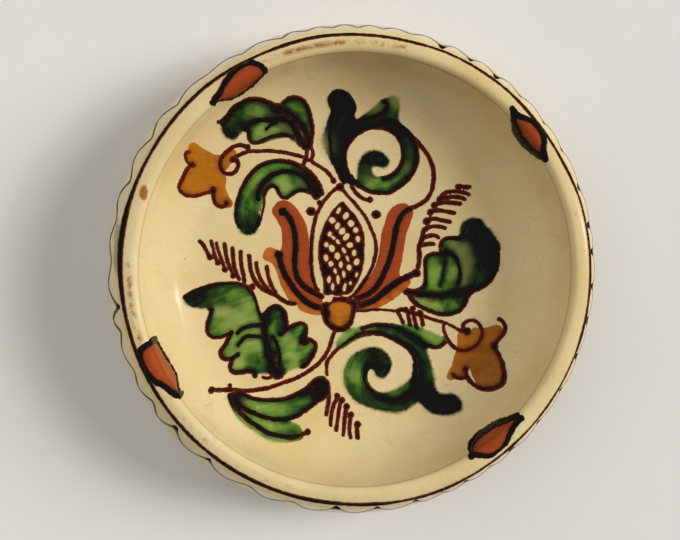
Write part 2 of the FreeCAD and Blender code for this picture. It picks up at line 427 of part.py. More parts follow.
# openings of the lattice: x, y, half width, half height, lean in degrees
NETS = [(-6.5, 27.2, 0.7, 1.4, -30), (-3.2, 24.7, 1.0, 1.5, -30), (-9.5, 22.7, 1.3, 1.3, 0),
        (-0.8, 21.3, 1.3, 1.3, 0), (-7, 20, 0.9, 1.4, -25), (-4.8, 17.7, 1.2, 1.6, -40), (1.5, 18.2, 1.1, 1.1, 0),
        (-10.6, 16.4, 0.7, 0.9, -20), (-2.9, 15, 1.1, 1.6, -40), (2.6, 14, 0.9, 1.2, 0),
        (-8.9, 14.6, 0.5, 1.0, 50), (-6.8, 12.7, 0.6, 1.2, 40), (-12.2, 11.4, 0.8, 0.9, 0),
        (-1.2, 11.2, 1.2, 1.0, 0), (-9.6, 9.6, 1.2, 1.6, 20), (-4, 8.8, 0.6, 1.2, 25), (0.8, 7.6, 0.9, 1.4, 0),
        (-12.4, 5.2, 0.9, 1.4, 10), (-7, 6.2, 1.2, 1.4, 0), (-2.4, 5, 0.45, 1.3, 15), (2, 3.4, 1.0, 1.3, -15),
        (-10.1, 2.5, 0.9, 1.0, 0), (-5.4, 2.2, 0.6, 1.4, 0), (-1.5, 0.7, 0.9, 1.2, 15),
        (-8.1, -0.8, 0.5, 1.2, 20), (-4.1, -2.4, 0.5, 1.3, 5), (-10.9, -4.8, 0.6, 1.4, -5),
        (-6.7, -5, 0.6, 1.8, 5), (-9.2, -8.2, 0.5, 1.6, 0), (-3.6, -8.3, 0.45, 1.8, -12),
        (-0.9, -6.5, 0.6, 0.7, 0), (2, -2.6, 0.35, 0.9, -10)]

FILLS = {
    "boss_ochre": [[(-10.3, -17), (-7, -15.3), (-3.5, -15.7), (-1.1, -17), (-0.8, -19.5), (-1.2, -22),
                    (-2.5, -24.5), (-5.5, -26.3), (-8.5, -25.5), (-10.6, -23.5), (-10, -20.5),
                    (-10.6, -18.6)]],
    "tulip_petal_left_red": [[
        (-37.2, 26.4), (-36.3, 29), (-34.5, 30.9), (-32, 31.6), (-29.5, 30.9), (-27, 28.8), (-24.7, 25.8),
        (-22.7, 22.5), (-21.4, 19), (-20.8, 15), (-20.4, 11), (-20.3, 5), (-20, 0), (-19.4, -4), (-18.2, -8),
        (-16.5, -10.5), (-14.6, -13), (-14, -16.5), (-14.6, -20.8), (-17.5, -21), (-21, -20.2), (-24.8, -18),
        (-26.5, -15.5), (-28.8, -14.8), (-30.5, -12.3), (-32.3, -9), (-33.7, -5.5), (-34.8, -2), (-35.8, 0.8),
        (-37.8, 3.3), (-41.4, 5.2), (-40.8, 8), (-39, 9.9), (-36, 9.2), (-33.4, 8.6), (-32.7, 11),
        (-32.5, 15), (-32.8, 18), (-33.8, 20.8), (-35.5, 23.7)]],
    "tulip_petal_right_red": [[
        (15, 20), (16.4, 25), (18.2, 28), (20.5, 29.7), (23.5, 30.4), (26, 29.6), (28, 27.2), (27.3, 23),
        (26, 19.5), (25, 16), (24.1, 12), (23.6, 8), (22.9, 4), (22, 0.5), (21.9, -3), (24, -4.4), (27, -5.4),
        (26.2, -7.6), (24, -9.7), (21, -12.5), (17, -15.2), (13, -17.3), (9, -18.3), (5, -18.8), (2.6, -18.6),
        (2.2, -15.6), (0.9, -12.9), (3, -10.5), (5.5, -7.3), (8, -4), (10, -0.8), (11.6, 3), (12.6, 7),
        (13.1, 11), (13.7, 16)]],
    "bell_flower_left_ochre": [[
        (-74.3, 53), (-73.6, 55.3), (-72, 56.1), (-70.3, 55.2), (-67.5, 53.7), (-64.5, 52.3), (-61.5, 51.8),
        (-58.5, 53), (-55.5, 54.8), (-54, 53.3), (-55, 51.2), (-56, 49.3), (-57.3, 47), (-59.3, 44),
        (-58.6, 42.3), (-58.8, 38.5), (-58.3, 35.3), (-57, 32.7), (-55.4, 30.3), (-56.3, 28.9), (-59, 28.5),
        (-62, 28.8), (-64, 31), (-64.6, 34.3), (-66.5, 34.8), (-70, 34.5), (-74, 33.8), (-77, 35),
        (-78.4, 37.5), (-77.7, 40.5), (-76, 44), (-74.3, 46.5), (-74.8, 49.5)]],
    "bell_flower_right_ochre": [[
        (48.6, -38.6), (47.6, -42), (46.4, -46), (44.7, -48.8), (44.2, -50.8), (45.6, -51.8), (48.4, -51),
        (51.6, -50.2), (53.3, -48), (54.8, -46.4), (56, -49), (57.4, -52), (59, -54.6), (62, -55.2),
        (66, -54.4), (68.4, -52.2), (69.2, -48), (69, -44), (67.5, -40.5), (66, -38), (66.2, -35.5),
        (67.5, -33.3), (69.2, -30.8), (69.8, -28), (68.8, -26.7), (66, -26.8), (63, -27.6), (59.6, -28),
        (57, -27.8), (54.5, -30.5), (51.6, -30.3), (50, -29.8), (49.5, -32), (49.4, -35)]],
    "leaf_nw_green": [[
        (-60, 65.6), (-58, 68), (-55, 71.3), (-51, 74.3), (-46.5, 76.4), (-42, 76.9), (-37, 76.1),
        (-33.6, 75.2), (-31, 76.8), (-28, 78.3), (-24.5, 78), (-21.8, 75.8), (-20.2, 72.5), (-19.2, 68),
        (-18.7, 63), (-19.2, 58), (-19.9, 55), (-21.8, 54.4), (-24, 56), (-25.8, 58.5), (-28.5, 60.8),
        (-33, 61.5), (-38, 60.3), (-42, 58.6), (-45.6, 57.9), (-47.7, 59.5), (-47.8, 62.4), (-49.5, 63.3),
        (-52.5, 60.8), (-55.5, 58.8), (-58.5, 60.2), (-60.2, 63)]],
    "leaf_w_green": [[
        (-53.8, 28), (-53.9, 24), (-53, 20), (-52, 17.5), (-50, 16), (-47.5, 15.7), (-45, 16.8), (-43.8, 19),
        (-43.6, 23), (-43.2, 27), (-42.2, 31), (-40.8, 34), (-38.8, 36.6), (-36.8, 37.8), (-35, 36.2),
        (-33, 33.5), (-31, 32.7), (-29, 33.8), (-26, 36), (-23, 36.5), (-20.3, 35.8), (-18.5, 33.3),
        (-16.5, 32.4), (-14.5, 33.4), (-14, 35.2), (-15, 38.5), (-17, 41.6), (-19.5, 44.3), (-22.5, 46.8),
        (-26, 48.2), (-30, 49.3), (-35, 49.8), (-40, 48.8), (-45, 45.8), (-49, 41.5), (-51.7, 36.5),
        (-53, 32)]],
    "leaf_e_green": [[
        (25, -9.7), (29, -9.6), (32.5, -8), (33.5, -4.5), (33.6, 0), (33.4, 4), (34.7, 6.8), (37.5, 8),
        (41, 8.1), (41, 11), (42, 13.8), (45, 15.1), (50, 15), (50.3, 19), (52.3, 22.4), (55, 23.8), (58, 24),
        (60.6, 23.1), (62.3, 20.8), (65, 17.8), (67, 15), (68.4, 11.5), (69.1, 7), (69.1, 3), (68, -1),
        (66, -4.5), (63, -7.5), (60, -9.7), (56.5, -11.2), (54.7, -13.3), (53.5, -16.3), (51.3, -19),
        (48, -21.1), (44, -21.8), (39.5, -21.2), (35, -19.6), (31, -17.7), (28.3, -15.5), (26.2, -12.7)]],
    "leaf_sw_green": [[
        (-77.5, -12.4), (-74, -10.4), (-69, -8.8), (-63, -7.6), (-58, -7.2), (-53, -7.7), (-49.5, -9.5),
        (-47, -12), (-45.6, -15), (-44.6, -19), (-43, -22.3), (-41, -21.4), (-39, -19.2), (-36, -17.8),
        (-33, -19.2), (-31.5, -22), (-31.4, -26), (-32.8, -29.6), (-30, -28.2), (-26.5, -26.2), (-23, -26),
        (-22.5, -28.5), (-23, -31), (-21, -32.5), (-18.5, -34), (-18, -36.5), (-19.5, -40.5), (-22, -44),
        (-25.5, -45.7), (-29.5, -47), (-32.4, -48.6), (-35.5, -50), (-37.8, -48.5), (-40.5, -48),
        (-44, -47.8), (-48, -46.5), (-53, -46.9), (-56, -45.5), (-55.7, -42.7), (-55, -40.7), (-59, -40.4),
        (-60.6, -38), (-59, -35), (-57, -31.7), (-56.7, -29.7), (-60, -30.2), (-64.5, -30.3), (-66.7, -27.5),
        (-65.9, -23), (-64.9, -19.5), (-68, -18.1), (-73, -17.4), (-76.7, -15.6)]],
    "leaf_s_green": [
        [(-54.5, -56.6), (-51.5, -57.4), (-47, -59.6), (-42, -60.6), (-36, -60.8), (-30, -60), (-25, -58),
         (-21, -55.8), (-18, -53), (-14, -50.3), (-11.7, -51.8), (-10.8, -55), (-12.2, -59), (-16, -61.8),
         (-21, -64.8), (-26, -67.6), (-31, -69), (-36, -69.1), (-41, -67.9), (-46, -65.8), (-50.5, -63.2),
         (-53.5, -60.3)],
        [(-56.6, -56.8), (-54.3, -59.8), (-52, -62.4), (-49.6, -64.9), (-46, -67.2), (-41, -69.3),
         (-36, -70.3), (-30, -70.8), (-27, -71.2), (-24.8, -72.5), (-24.2, -74.4), (-24, -77.4),
         (-27, -78.3), (-31.5, -78.8), (-37.5, -77.5), (-43, -74.9), (-48, -71.5), (-52.4, -67),
         (-55.6, -62.2), (-57.8, -58.4)]],
    "scroll_n_green": [[
        (-5.5, 40.8), (-8.4, 46.5), (-10.4, 51), (-12.4, 55.6), (-13.6, 60), (-12.6, 65), (-11, 70),
        (-10, 73.2), (-11.5, 77), (-10.8, 80.2), (-8, 82), (-5, 81.8), (-1.8, 80), (0.5, 77), (1.1, 73.6),
        (0.5, 70.2), (1.8, 69.6), (4.5, 71.2), (8.4, 74), (12.5, 77.4), (15, 78.3), (17.6, 79.5),
        (20, 79), (21.3, 75.4), (21.2, 71), (21.8, 67.8), (25, 65), (28.5, 61.5), (30.6, 57.2), (31.3, 52.5),
        (30.3, 47.5), (27.8, 43), (24, 38.9), (20, 36), (16.5, 34.7), (11, 34.7), (7, 36), (3, 38.2),
        (-0.6, 39.6), (-3.2, 39.9)]],
    "scroll_s_green": [
        [(-7.3, -35.6), (-6.4, -32), (-3.5, -29.6), (0, -27.6), (4, -26.8), (8, -25.6), (12, -25), (16, -25.2),
         (20, -26), (23, -26.4), (26, -26.2), (30, -27.2), (34, -28.3), (38, -29.8), (41, -31.3),
         (43.3, -33.2), (42.5, -35.6), (38.5, -36.9), (34.8, -36.8), (35.6, -40), (36.5, -44), (37.1, -48),
         (37.7, -52), (38.6, -55.6), (40.4, -57.8), (43.4, -58.3), (46.5, -58.1), (49.3, -59.6), (51, -62.3),
         (50.6, -65), (48, -67), (44, -68.1), (40, -68.2), (36.5, -67.3), (34, -65.3), (32, -63.2),
         (30.3, -62.4), (27.5, -64), (24, -66), (20, -66.7), (15, -66.2), (10, -65.3), (5.5, -63.8),
         (1.5, -61.7), (-1.5, -58.8), (-3.7, -55), (-4.6, -51), (-4.1, -46.5), (-2.3, -42.5), (0, -39.7),
         (3, -38), (6, -36.9), (9.5, -36.3), (12.5, -36.8), (15.3, -38.4), (17.3, -40.8), (18.4, -44),
         (17.8, -47), (16, -49.9), (13.5, -51), (11.3, -50.2), (10, -48), (8.9, -46.2), (7.4, -46.8),
         (6.4, -49.6), (6.9, -52.6), (9.2, -55.8), (12.5, -57.6), (16, -57.3), (20, -56), (24, -53.8),
         (27, -50.8), (28.4, -47), (28.3, -42.6), (26.6, -38.6), (23.4, -35.4), (19.4, -33),
         (14, -31.4), (8, -30.8), (3, -32), (-1, -34.2), (-4.6, -36.4)]],
}

RING_HOLE = [(1.8, 41.2), (0, 43), (-1.8, 46.5), (-2.6, 51), (-2.2, 55), (-0.3, 58.8), (2.5, 61.5), (6, 63.6),
             (11, 64.4), (15.5, 63.7), (19, 61.7), (21.3, 58.5), (22.4, 54.5), (22.2, 50.5), (20.3, 46.6),
             (17.5, 44), (14.5, 42.9), (11.5, 43.2), (9.3, 44.9), (9.2, 47), (10.7, 47.8), (13.5, 47.1),
             (16, 47.6), (17.1, 49.6), (15.7, 52.5), (13, 54.6), (10, 55.2), (6.5, 54.3), (3.8, 52),
             (2.6, 49), (2, 45)]

# petals laid over the lip: outline stroke, inner hairline, red fill
RIM_PETALS = {
    "nw": ([([(-40.8, 86.5), (-43.5, 88.5), (-47, 89.4), (-50.8, 88.2), (-54.3, 85.3), (-57, 82),
              (-58.7, 79.3), (-59.9, 76.8), (-61.5, 74.6), (-63.2, 72.3)], 2.6),
            ([(-40.4, 86), (-45, 82), (-50, 78.3), (-55, 75.3), (-60, 73.4), (-63.2, 72)], 0.7)],
           [(-60.8, 73.4), (-55, 75.3), (-50, 78.3), (-45, 81.8), (-41.4, 84.8), (-42.4, 87.4), (-46, 88.6),
            (-50, 88), (-53.7, 85.4), (-56.2, 81.8), (-58, 78.8), (-60, 76)]),
    "ne": ([([(67.5, 71), (68.9, 69.2), (71, 67.6), (74, 66.6), (77, 65), (79.6, 62.6), (81.2, 59.6),
              (82, 56.6), (81.7, 53.6), (82.2, 50.8), (82.8, 48.8)], 2.6),
            ([(67.5, 70.4), (68.3, 67), (70.2, 63.2), (72.7, 59.3), (75.6, 55.7), (78.6, 52.4),
              (82.4, 48.9)], 1.7), ("dot", 82, 56.3, 1.4)],
           [(68.4, 69.2), (70.6, 67), (74, 65.4), (77, 63.9), (79.2, 61.2), (80.6, 58), (80.8, 55),
            (81.2, 51.6), (79, 52.2), (75.8, 55.8), (72.8, 59.6), (70.2, 64)]),
    "sw": ([([(-89, -30), (-91.2, -31.8), (-93.6, -33.3), (-94.3, -36.4), (-93.6, -39.6), (-91.9, -43),
              (-89.7, -46), (-87.1, -48), (-84.9, -49), (-82.2, -51.2), (-80, -53.1), (-77.8, -54)], 2.7),
            ([(-88.2, -30.2), (-84.9, -37), (-82.4, -41.5), (-80, -46), (-78.8, -50.4), (-77.6, -53.6)], 0.7)],
           [(-88.6, -30.8), (-91, -32.6), (-93, -34.5), (-93.3, -37.5), (-92.4, -40.4), (-90.4, -43.7),
            (-88, -46.6), (-84.8, -48.2), (-82, -50.6), (-79.3, -53), (-78.8, -50.2), (-80, -45.8),
            (-82.5, -41.2), (-85, -36.6)]),
    "se": ([([(49.6, -82.4), (52.6, -81.4), (56, -82), (60, -81.4), (63, -79.5), (65.2, -76.8), (66.4, -73.8),
              (68, -70.4), (70, -67.6), (72.2, -65.4)], 2.5), ("dot", 72, -65.4, 1.5),
            ([(50, -81.6), (50.5, -79.3), (52.6, -76.9), (56, -74), (60, -71.1), (64, -68.4), (67.5, -66.4),
              (71, -64)], 1.7)],
           [(51, -80.8), (55, -81.2), (59, -80.8), (62.2, -79), (64.6, -75.8), (65.6, -72.6), (67.6, -69.4),
            (69.6, -66.6), (67, -66.8), (62.6, -69.6), (58, -72.7), (54, -75.8), (51.4, -78.8)]),
}


def drawn(item):
    if item[0] == "dot":
        return dot(*item[1:])
    if item[0] == "blob":
        return blob(item[1])
    return trail(*item)


def opening(x, y, half_w, half_h, lean):
    pts = [(half_w, 0), (half_w * 0.6, half_h * 0.75), (0, half_h), (-half_w * 0.6, half_h * 0.75),
           (-half_w, 0), (-half_w * 0.6, -half_h * 0.75), (0, -half_h), (half_w * 0.6, -half_h * 0.75)]
    c, s = math.cos(math.radians(lean)), math.sin(math.radians(lean))
    return blob([(x + c * p - s * q, y + s * p + c * q) for p, q in pts])


def lattice():
    return blob(POD).cut([opening(*net) for net in NETS])


def annulus(d, w):
    outer = Part.Wire(Part.makeCircle(d / 2 + w / 2))
    inner = Part.Wire(Part.makeCircle(d / 2 - w / 2))
    return Part.Face(outer).cut(Part.Face(inner))


def without(shape, others):
    near_by = [o for o in others if near(shape, o)]
    return shape.cut(near_by) if near_by else shape


def plan_shapes():
    """Every painted area on the plan, none overlapping another: lines first, washes between them."""
    lines, fills = {}, {}
    taken = [annulus(RIM_LINE_D, RIM_LINE_W)]
    for name in LINES:
        shape = lattice() if name == "pod_lattice" else joined([drawn(i) for i in LINES[name]])
        if name == "boss_ring":
            shape = shape.cut(blob(FILLS["boss_ochre"][0]))
        lines[name] = pruned(without(shape, taken))
        taken += lines[name]
    for side, (edge, red) in RIM_PETALS.items():
        shape = joined([drawn(i) for i in edge])
        lines["rim_petal_edge_" + side] = pruned(without(shape, taken))
        taken += lines["rim_petal_edge_" + side]
        fills["rim_petal_red_" + side] = pruned(without(blob(red), taken))
    for name, areas in FILLS.items():
        shape = joined([blob(a) for a in areas])
        if name == "scroll_n_green":
            shape = shape.cut(blob(RING_HOLE))
        fills[name] = pruned(without(shape, taken))
        taken += fills[name]
    return lines, fills


def coats(section, low, high):
    """The turned coat on the floor alone, and on the whole inside up to the lip."""
    return section.layer(low, high, 0, 1), section.layer(low, high, 0, 5)


def laid_on(faces, coat):
    """Paint of the coat's thickness wherever the drawn faces fall on the glaze."""
    low, high = FLOOR_Z - 3, HEIGHT + 3
    made = []
    for f in faces:
        far = max(p.Length for e in f.OuterWire.Edges for p in e.discretize(12))
        block = f.copy()
        block.translate(V(0, 0, low))
        part = block.extrude(V(0, 0, high - low)).common(coat[0 if far < FLOOR_D / 2 - 1 else 1])
        made += [s for s in part.Solids if s.Volume > 0.02]
    return made


def garland(section):
    """Loops of slip trailed round the collar's outer face, one beside the next."""
    step = 360.0 / SWAGS
    coat = section.layer(COAT, COAT + TRAIL, 5, 8, step - 0.15, -(step - 0.15) / 2)
    mid = RIM_D / 2 - 3.0
    half = mid * math.sin(math.radians(step / 2))
    top = HEIGHT - 4.0
    pts = [(-half, top), (-0.8 * half, top - 0.45 * SWAG_DEEP), (-0.42 * half, top - 0.87 * SWAG_DEEP),
           (0, top - SWAG_DEEP), (0.42 * half, top - 0.87 * SWAG_DEEP), (0.8 * half, top - 0.45 * SWAG_DEEP),
           (half, top)]
    loop = trail([(x / SCALE, y / SCALE) for x, y in pts], SWAG_W / SCALE)
    loop.rotate(V(0, 0, 0), V(1, 0, 0), 90)
    loop.rotate(V(0, 0, 0), V(0, 0, 1), 90)
    loop.translate(V(mid - 12, 0, 0))
    one = loop.extrude(V(20, 0, 0)).common(coat)
    made = []
    for i in range(SWAGS):
        for s in one.Solids:
            copy = s.copy()
            copy.rotate(V(0, 0, 0), V(0, 0, 1), step * i)
            made.append(copy)
    return made


def clay(section):
    edges = section.edges(0)
    first, last = edges[0].firstVertex(True).Point, edges[-1].lastVertex(True).Point
    edges.append(Part.makeLine(last, first))
    face = Part.Face(Part.Wire(Part.__sortEdges__(edges)))
    return face.revolve(V(0, 0, 0), V(0, 0, 1), 360)


def build():
    section = clay_section()
    parts = {"clay_body": [clay(section)], "cream_glaze": [section.layer(0, COAT, 0, 11)]}
    line_coat = coats(section, COAT, COAT + TRAIL)
    wash_coat = coats(section, COAT, COAT + WASH)
    ring = annulus(RIM_LINE_D, RIM_LINE_W)
    parts["rim_line"] = laid_on(ring.Faces, line_coat)
    parts["rim_garland"] = garland(section)
    lines, fills = plan_shapes()
    for name, faces in lines.items():
        parts[name] = laid_on(faces, line_coat)
    for name, faces in fills.items():
        parts[name] = laid_on(faces, wash_coat)
    return parts


os.makedirs("parts", exist_ok=True)
for node, solids in build().items():
    shape = solids[0] if len(solids) == 1 else Part.makeCompound(solids)
    shape.exportStep("parts/" + node + ".step")
    print(node, len(solids), round(shape.Volume, 1), shape.isValid())
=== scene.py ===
"""Hand painted earthenware plate: turned and glazed dish, trailed slip drawing, brushed colours."""
import json
import math
from functools import cache

import bpy
import numpy as np
from bpy.props import FloatProperty, FloatVectorProperty, PointerProperty
from mathutils import Matrix, Vector


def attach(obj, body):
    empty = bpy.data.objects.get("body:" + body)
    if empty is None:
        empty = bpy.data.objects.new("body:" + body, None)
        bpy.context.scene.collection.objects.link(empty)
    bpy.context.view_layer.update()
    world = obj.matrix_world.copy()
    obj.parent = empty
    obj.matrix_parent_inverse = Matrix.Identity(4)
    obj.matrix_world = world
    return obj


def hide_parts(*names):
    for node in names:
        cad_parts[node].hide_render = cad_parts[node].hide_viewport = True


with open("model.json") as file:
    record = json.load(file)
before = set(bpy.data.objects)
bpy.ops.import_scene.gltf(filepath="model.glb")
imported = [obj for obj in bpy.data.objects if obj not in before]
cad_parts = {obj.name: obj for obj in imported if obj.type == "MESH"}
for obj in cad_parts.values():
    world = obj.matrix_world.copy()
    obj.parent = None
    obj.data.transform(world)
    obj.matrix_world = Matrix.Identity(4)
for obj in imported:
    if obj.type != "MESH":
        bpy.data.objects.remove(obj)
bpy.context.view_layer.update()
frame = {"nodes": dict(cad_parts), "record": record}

bl_info = {
    "name": "Hand painted plate",
    "version": (1, 0, 0),
    "blender": (4, 5, 0),
    "location": "3D View > Sidebar > Plate",
    "description": "Builds a thrown, slip trailed and lead glazed plate round its CAD frame",
    "category": "Object",
}

MM = 0.001
WELD = 0.000002        # points nearer than this are one, in metres


def linear(code):
    """A linear colour from its sRGB hex value."""
    parts = [int(code[i:i + 2], 16) / 255 for i in (1, 3, 5)]
    return tuple(c / 12.92 if c <= 0.04045 else ((c + 0.055) / 1.055) ** 2.4 for c in parts)


def colour(name, text, code):
    """A colour that a user can change, with its default as an sRGB hex value."""
    return FloatVectorProperty(name=name, description=text, subtype="COLOR", size=3, min=0, max=1,
                               default=linear(code))


# ---- the turned section, mm and degrees: over the glaze as far as the flat under the rim, then on the clay

COAT = 0.6             # glaze over the clay
HEIGHT = 44.0          # top of the lip
RIM_R = 110.0          # outermost radius, low on the collar
FLOOR_Z = 13.0         # middle of the dish
FLOOR_R = 70.0         # where the floor turns up into the wall
FLOOR_SINK = 2.5       # how much lower the middle is than that circle
WALL_BEND = 25.8       # hollow between floor and wall
WALL_LEAN = 75         # the wall's slope
LIP_INSIDE = 3.5       # rounding from the wall to the crest of the lip
LIP_BACK = 10.5        # rounding from the crest outwards
LIP_BACK_TO = -37      # its slope where the collar begins
COLLAR_TOP = 2.5       # rounding into the collar
COLLAR_LEAN = -69      # the collar's slope
COLLAR_FOOT = 3.0      # rounding from the collar back under the rim
UNDER_RIM = -4.0       # how far the flat under the rim runs inwards, along the radius
UNDER_RIM_LEAN = -165  # its slope
NECK = (3.0, -122)     # hollow where it meets the bowl, and the slope after it
BELLY = (33.5, -174)   # the bowl's round underside, and the slope after it
FOOT_OUT = 63.5        # where the foot ring's fillet begins
FOOT_IN = 53.0         # where its inner edge begins to round
FOOT_LEAN = 82         # slope of its two sides
FOOT_FILLET = 2.0
FOOT_EDGE = 1.0
RECESS_Z = 5.5         # ceiling of the hollow inside the foot ring
RECESS_FILLET = 1.5
ROW_STEP = 0.1         # from one row of the section to the next

GLAZED = (0, 11)       # the bends and straights that carry glaze, down to the belly
BARE = (10, 20)        # those of the bare clay, from the belly on


def half_section(first_move, end_move):
    """Rows of r, z and heading on the clay, along some of the bends and straights that lead from the middle
    of the dish to the middle underneath."""
    sphere = (FLOOR_R ** 2 + FLOOR_SINK ** 2) / (2 * FLOOR_SINK) + COAT
    crest, turn = LIP_INSIDE - COAT, COLLAR_FOOT - COAT
    rounded = 1 - math.cos(math.radians(FOOT_LEAN))
    moves = [
        ("bend", sphere, math.degrees(math.asin(FLOOR_R / (sphere - COAT)))),
        ("bend", WALL_BEND + COAT, WALL_LEAN),
        ("z", HEIGHT - COAT - crest * (1 - math.cos(math.radians(WALL_LEAN)))),
        ("bend", crest, 0),
        ("bend", LIP_BACK - COAT, LIP_BACK_TO),
        ("bend", COLLAR_TOP - COAT, COLLAR_LEAN),
        ("r", RIM_R - COAT - turn * (1 - math.sin(math.radians(-COLLAR_LEAN)))),
        ("bend", turn, UNDER_RIM_LEAN),
        ("by", UNDER_RIM),
        ("bend", *NECK),
        ("bend", *BELLY),
        ("r", FOOT_OUT),
        ("bend", FOOT_FILLET, FOOT_LEAN - 180),
        ("z", FOOT_EDGE * rounded),
        ("bend", FOOT_EDGE, -180),
        ("r", FOOT_IN),
        ("bend", FOOT_EDGE, -180 - FOOT_LEAN),
        ("z", RECESS_Z - RECESS_FILLET * rounded),
        ("bend", RECESS_FILLET, -180),
        ("r", 0.0),
    ]
    r, z, heading = 0.0, FLOOR_Z - COAT, 0.0
    rows = []
    for number, move in enumerate(moves):
        keep = first_move <= number < end_move
        a = math.radians(heading)
        if move[0] == "bend":
            _, radius, to = move
            side = 1.0 if to > heading else -1.0
            cr, cz = r - side * radius * math.sin(a), z + side * radius * math.cos(a)
            length = abs(to - heading) * radius * 0.0175      # 0.0175 radians to a degree
            steps = max(8, int(length / ROW_STEP))
            for k in range(steps + 1):
                h = math.radians(heading + (to - heading) * k / steps)
                row = (cr + side * radius * math.sin(h), cz - side * radius * math.cos(h), h)
                if keep and (k or not rows):
                    rows.append(row)
            r, z, heading = row[0], row[1], to
        else:
            if move[0] == "r":
                run = (move[1] - r) / math.cos(a)
            elif move[0] == "z":
                run = (move[1] - z) / math.sin(a)
            else:
                run = move[1] / math.cos(a)
            steps = max(2, int(run / ROW_STEP))
            if keep:
                rows += [(r + run * math.cos(a) * k / steps, z + run * math.sin(a) * k / steps, a)
                         for k in range(1, steps + 1)]
            r, z = r + run * math.cos(a), z + run * math.sin(a)
    return np.array(rows)


class Skin:
    """The glaze's surface as a table along the section: place, outward normal and length."""

    def __init__(self):
        rows = half_section(*GLAZED)
        self.heading = rows[:, 2]
        self.nr, self.nz = -np.sin(self.heading), np.cos(self.heading)
        self.r, self.z = rows[:, 0] + COAT * self.nr, rows[:, 1] + COAT * self.nz
        self.s = np.concatenate(([0], np.cumsum(np.hypot(np.diff(self.r), np.diff(self.z)))))
        self.outermost = int(np.argmax(self.r))

    def over(self, x, y, lift):
        """Points above the plan points x, y, lifted off the glaze, in metres."""
        r = np.maximum(np.hypot(x, y), 1e-9)
        n = self.outermost
        z, nr, nz = (np.interp(r, self.r[:n], v[:n]) for v in (self.z, self.nr, self.nz))
        out = r + lift * nr
        return np.stack((x / r * out, y / r * out, z + lift * nz), 1) * MM

    def along(self, s, angle, lift):
        """Points at a length along the section and an angle about the axis, in metres."""
        r, z, nr, nz = (np.interp(s, self.s, v) for v in (self.r, self.z, self.nr, self.nz))
        out = r + lift * nr
        return np.stack((out * np.cos(angle), out * np.sin(angle), z + lift * nz), 1) * MM

    def length_at(self, r):
        """Length along the section, from the middle, where the upper side reaches a radius."""
        n = self.outermost
        return float(np.interp(r, self.r[:n], self.s[:n]))


SKIN = Skin()


# ---- grids, outlines and sheets -----------------------------------------------------------

def smooth(value, low, high):
    """0 up to low, 1 from high on, and a soft step between."""
    t = np.clip((value - low) / (high - low), 0, 1)
    return t * t * (3 - 2 * t)


def ripple(x, y, size, seed):
    """Smooth random values from -1 to 1, about size mm from one hump to the next."""
    count = 128
    lattice = np.random.default_rng(seed).uniform(-1, 1, (count, count))
    u, v = np.asarray(x) / size, np.asarray(y) / size
    i, j = np.floor(u).astype(int), np.floor(v).astype(int)
    u, v = u - i, v - j
    u, v = u * u * (3 - 2 * u), v * v * (3 - 2 * v)

    def at(a, b):
        return lattice[(i + a) % count, (j + b) % count]

    return at(0, 0) * (1 - u) * (1 - v) + at(1, 0) * u * (1 - v) + at(0, 1) * (1 - u) * v + at(1, 1) * u * v


def read(items, key, width=1, kind=float):
    """A value of every item of a mesh, as an array with width columns."""
    values = np.empty(len(items) * width, kind)
    items.foreach_get(key, values)
    return values.reshape(-1, width) if width > 1 else values


def outline_of(node):
    """The edge of a painted node's upper side, as rows x0, y0, x1, y1 in mm."""
    mesh = frame["nodes"][node].data
    mesh.calc_loop_triangles()
    points = read(mesh.vertices, "co", 3) / MM
    corners = read(mesh.loop_triangles, "vertices", 3, int)
    _, first, same = np.unique(np.round(points, 3), axis=0, return_index=True, return_inverse=True)
    corners = same.reshape(-1)[corners]
    points = points[first]
    a, b, c = (points[corners[:, k]] for k in range(3))
    normal = np.cross(b - a, c - a)
    length = np.linalg.norm(normal, axis=1)
    up = corners[(length > 1e-9) & (normal[:, 2] > 0.08 * length)]
    edges = np.sort(np.concatenate((up[:, (0, 1)], up[:, (1, 2)], up[:, (2, 0)])), axis=1)
    edges, count = np.unique(edges, axis=0, return_counts=True)
    edges = edges[count == 1]
    return np.concatenate((points[edges[:, 0], :2], points[edges[:, 1], :2]), axis=1)


def distances(segments, low, shape, pitch, reach):
    """Distance from each grid point to the nearest segment, up to reach, and which points they enclose."""
    near = np.full(shape, float(reach))
    inside = np.zeros(shape, bool)
    for x0, y0, x1, y1 in segments:
        i0 = max(int((min(x0, x1) - reach - low[0]) / pitch), 0)
        i1 = min(int((max(x0, x1) + reach - low[0]) / pitch) + 2, shape[0])
        j0 = max(int((min(y0, y1) - reach - low[1]) / pitch), 0)
        j1 = min(int((max(y0, y1) + reach - low[1]) / pitch) + 2, shape[1])
        if i0 < i1 and j0 < j1:
            gx = (low[0] + pitch * np.arange(i0, i1) - x0)[:, None]
            gy = (low[1] + pitch * np.arange(j0, j1) - y0)[None, :]
            dx, dy = x1 - x0, y1 - y0
            t = np.clip((gx * dx + gy * dy) / max(dx * dx + dy * dy, 1e-12), 0, 1)
            block = near[i0:i1, j0:j1]
            np.minimum(block, np.hypot(gx - t * dx, gy - t * dy), out=block)
        if y0 != y1:
            first = math.ceil((min(y0, y1) - low[1]) / pitch)
            last = math.ceil((max(y0, y1) - low[1]) / pitch)
            for j in range(max(first, 0), min(last, shape[1])):
                cross = x0 + (low[1] + pitch * j - y0) * (x1 - x0) / (y1 - y0)
                inside[max(math.ceil((cross - low[0]) / pitch), 0):, j] ^= True
    return near, inside


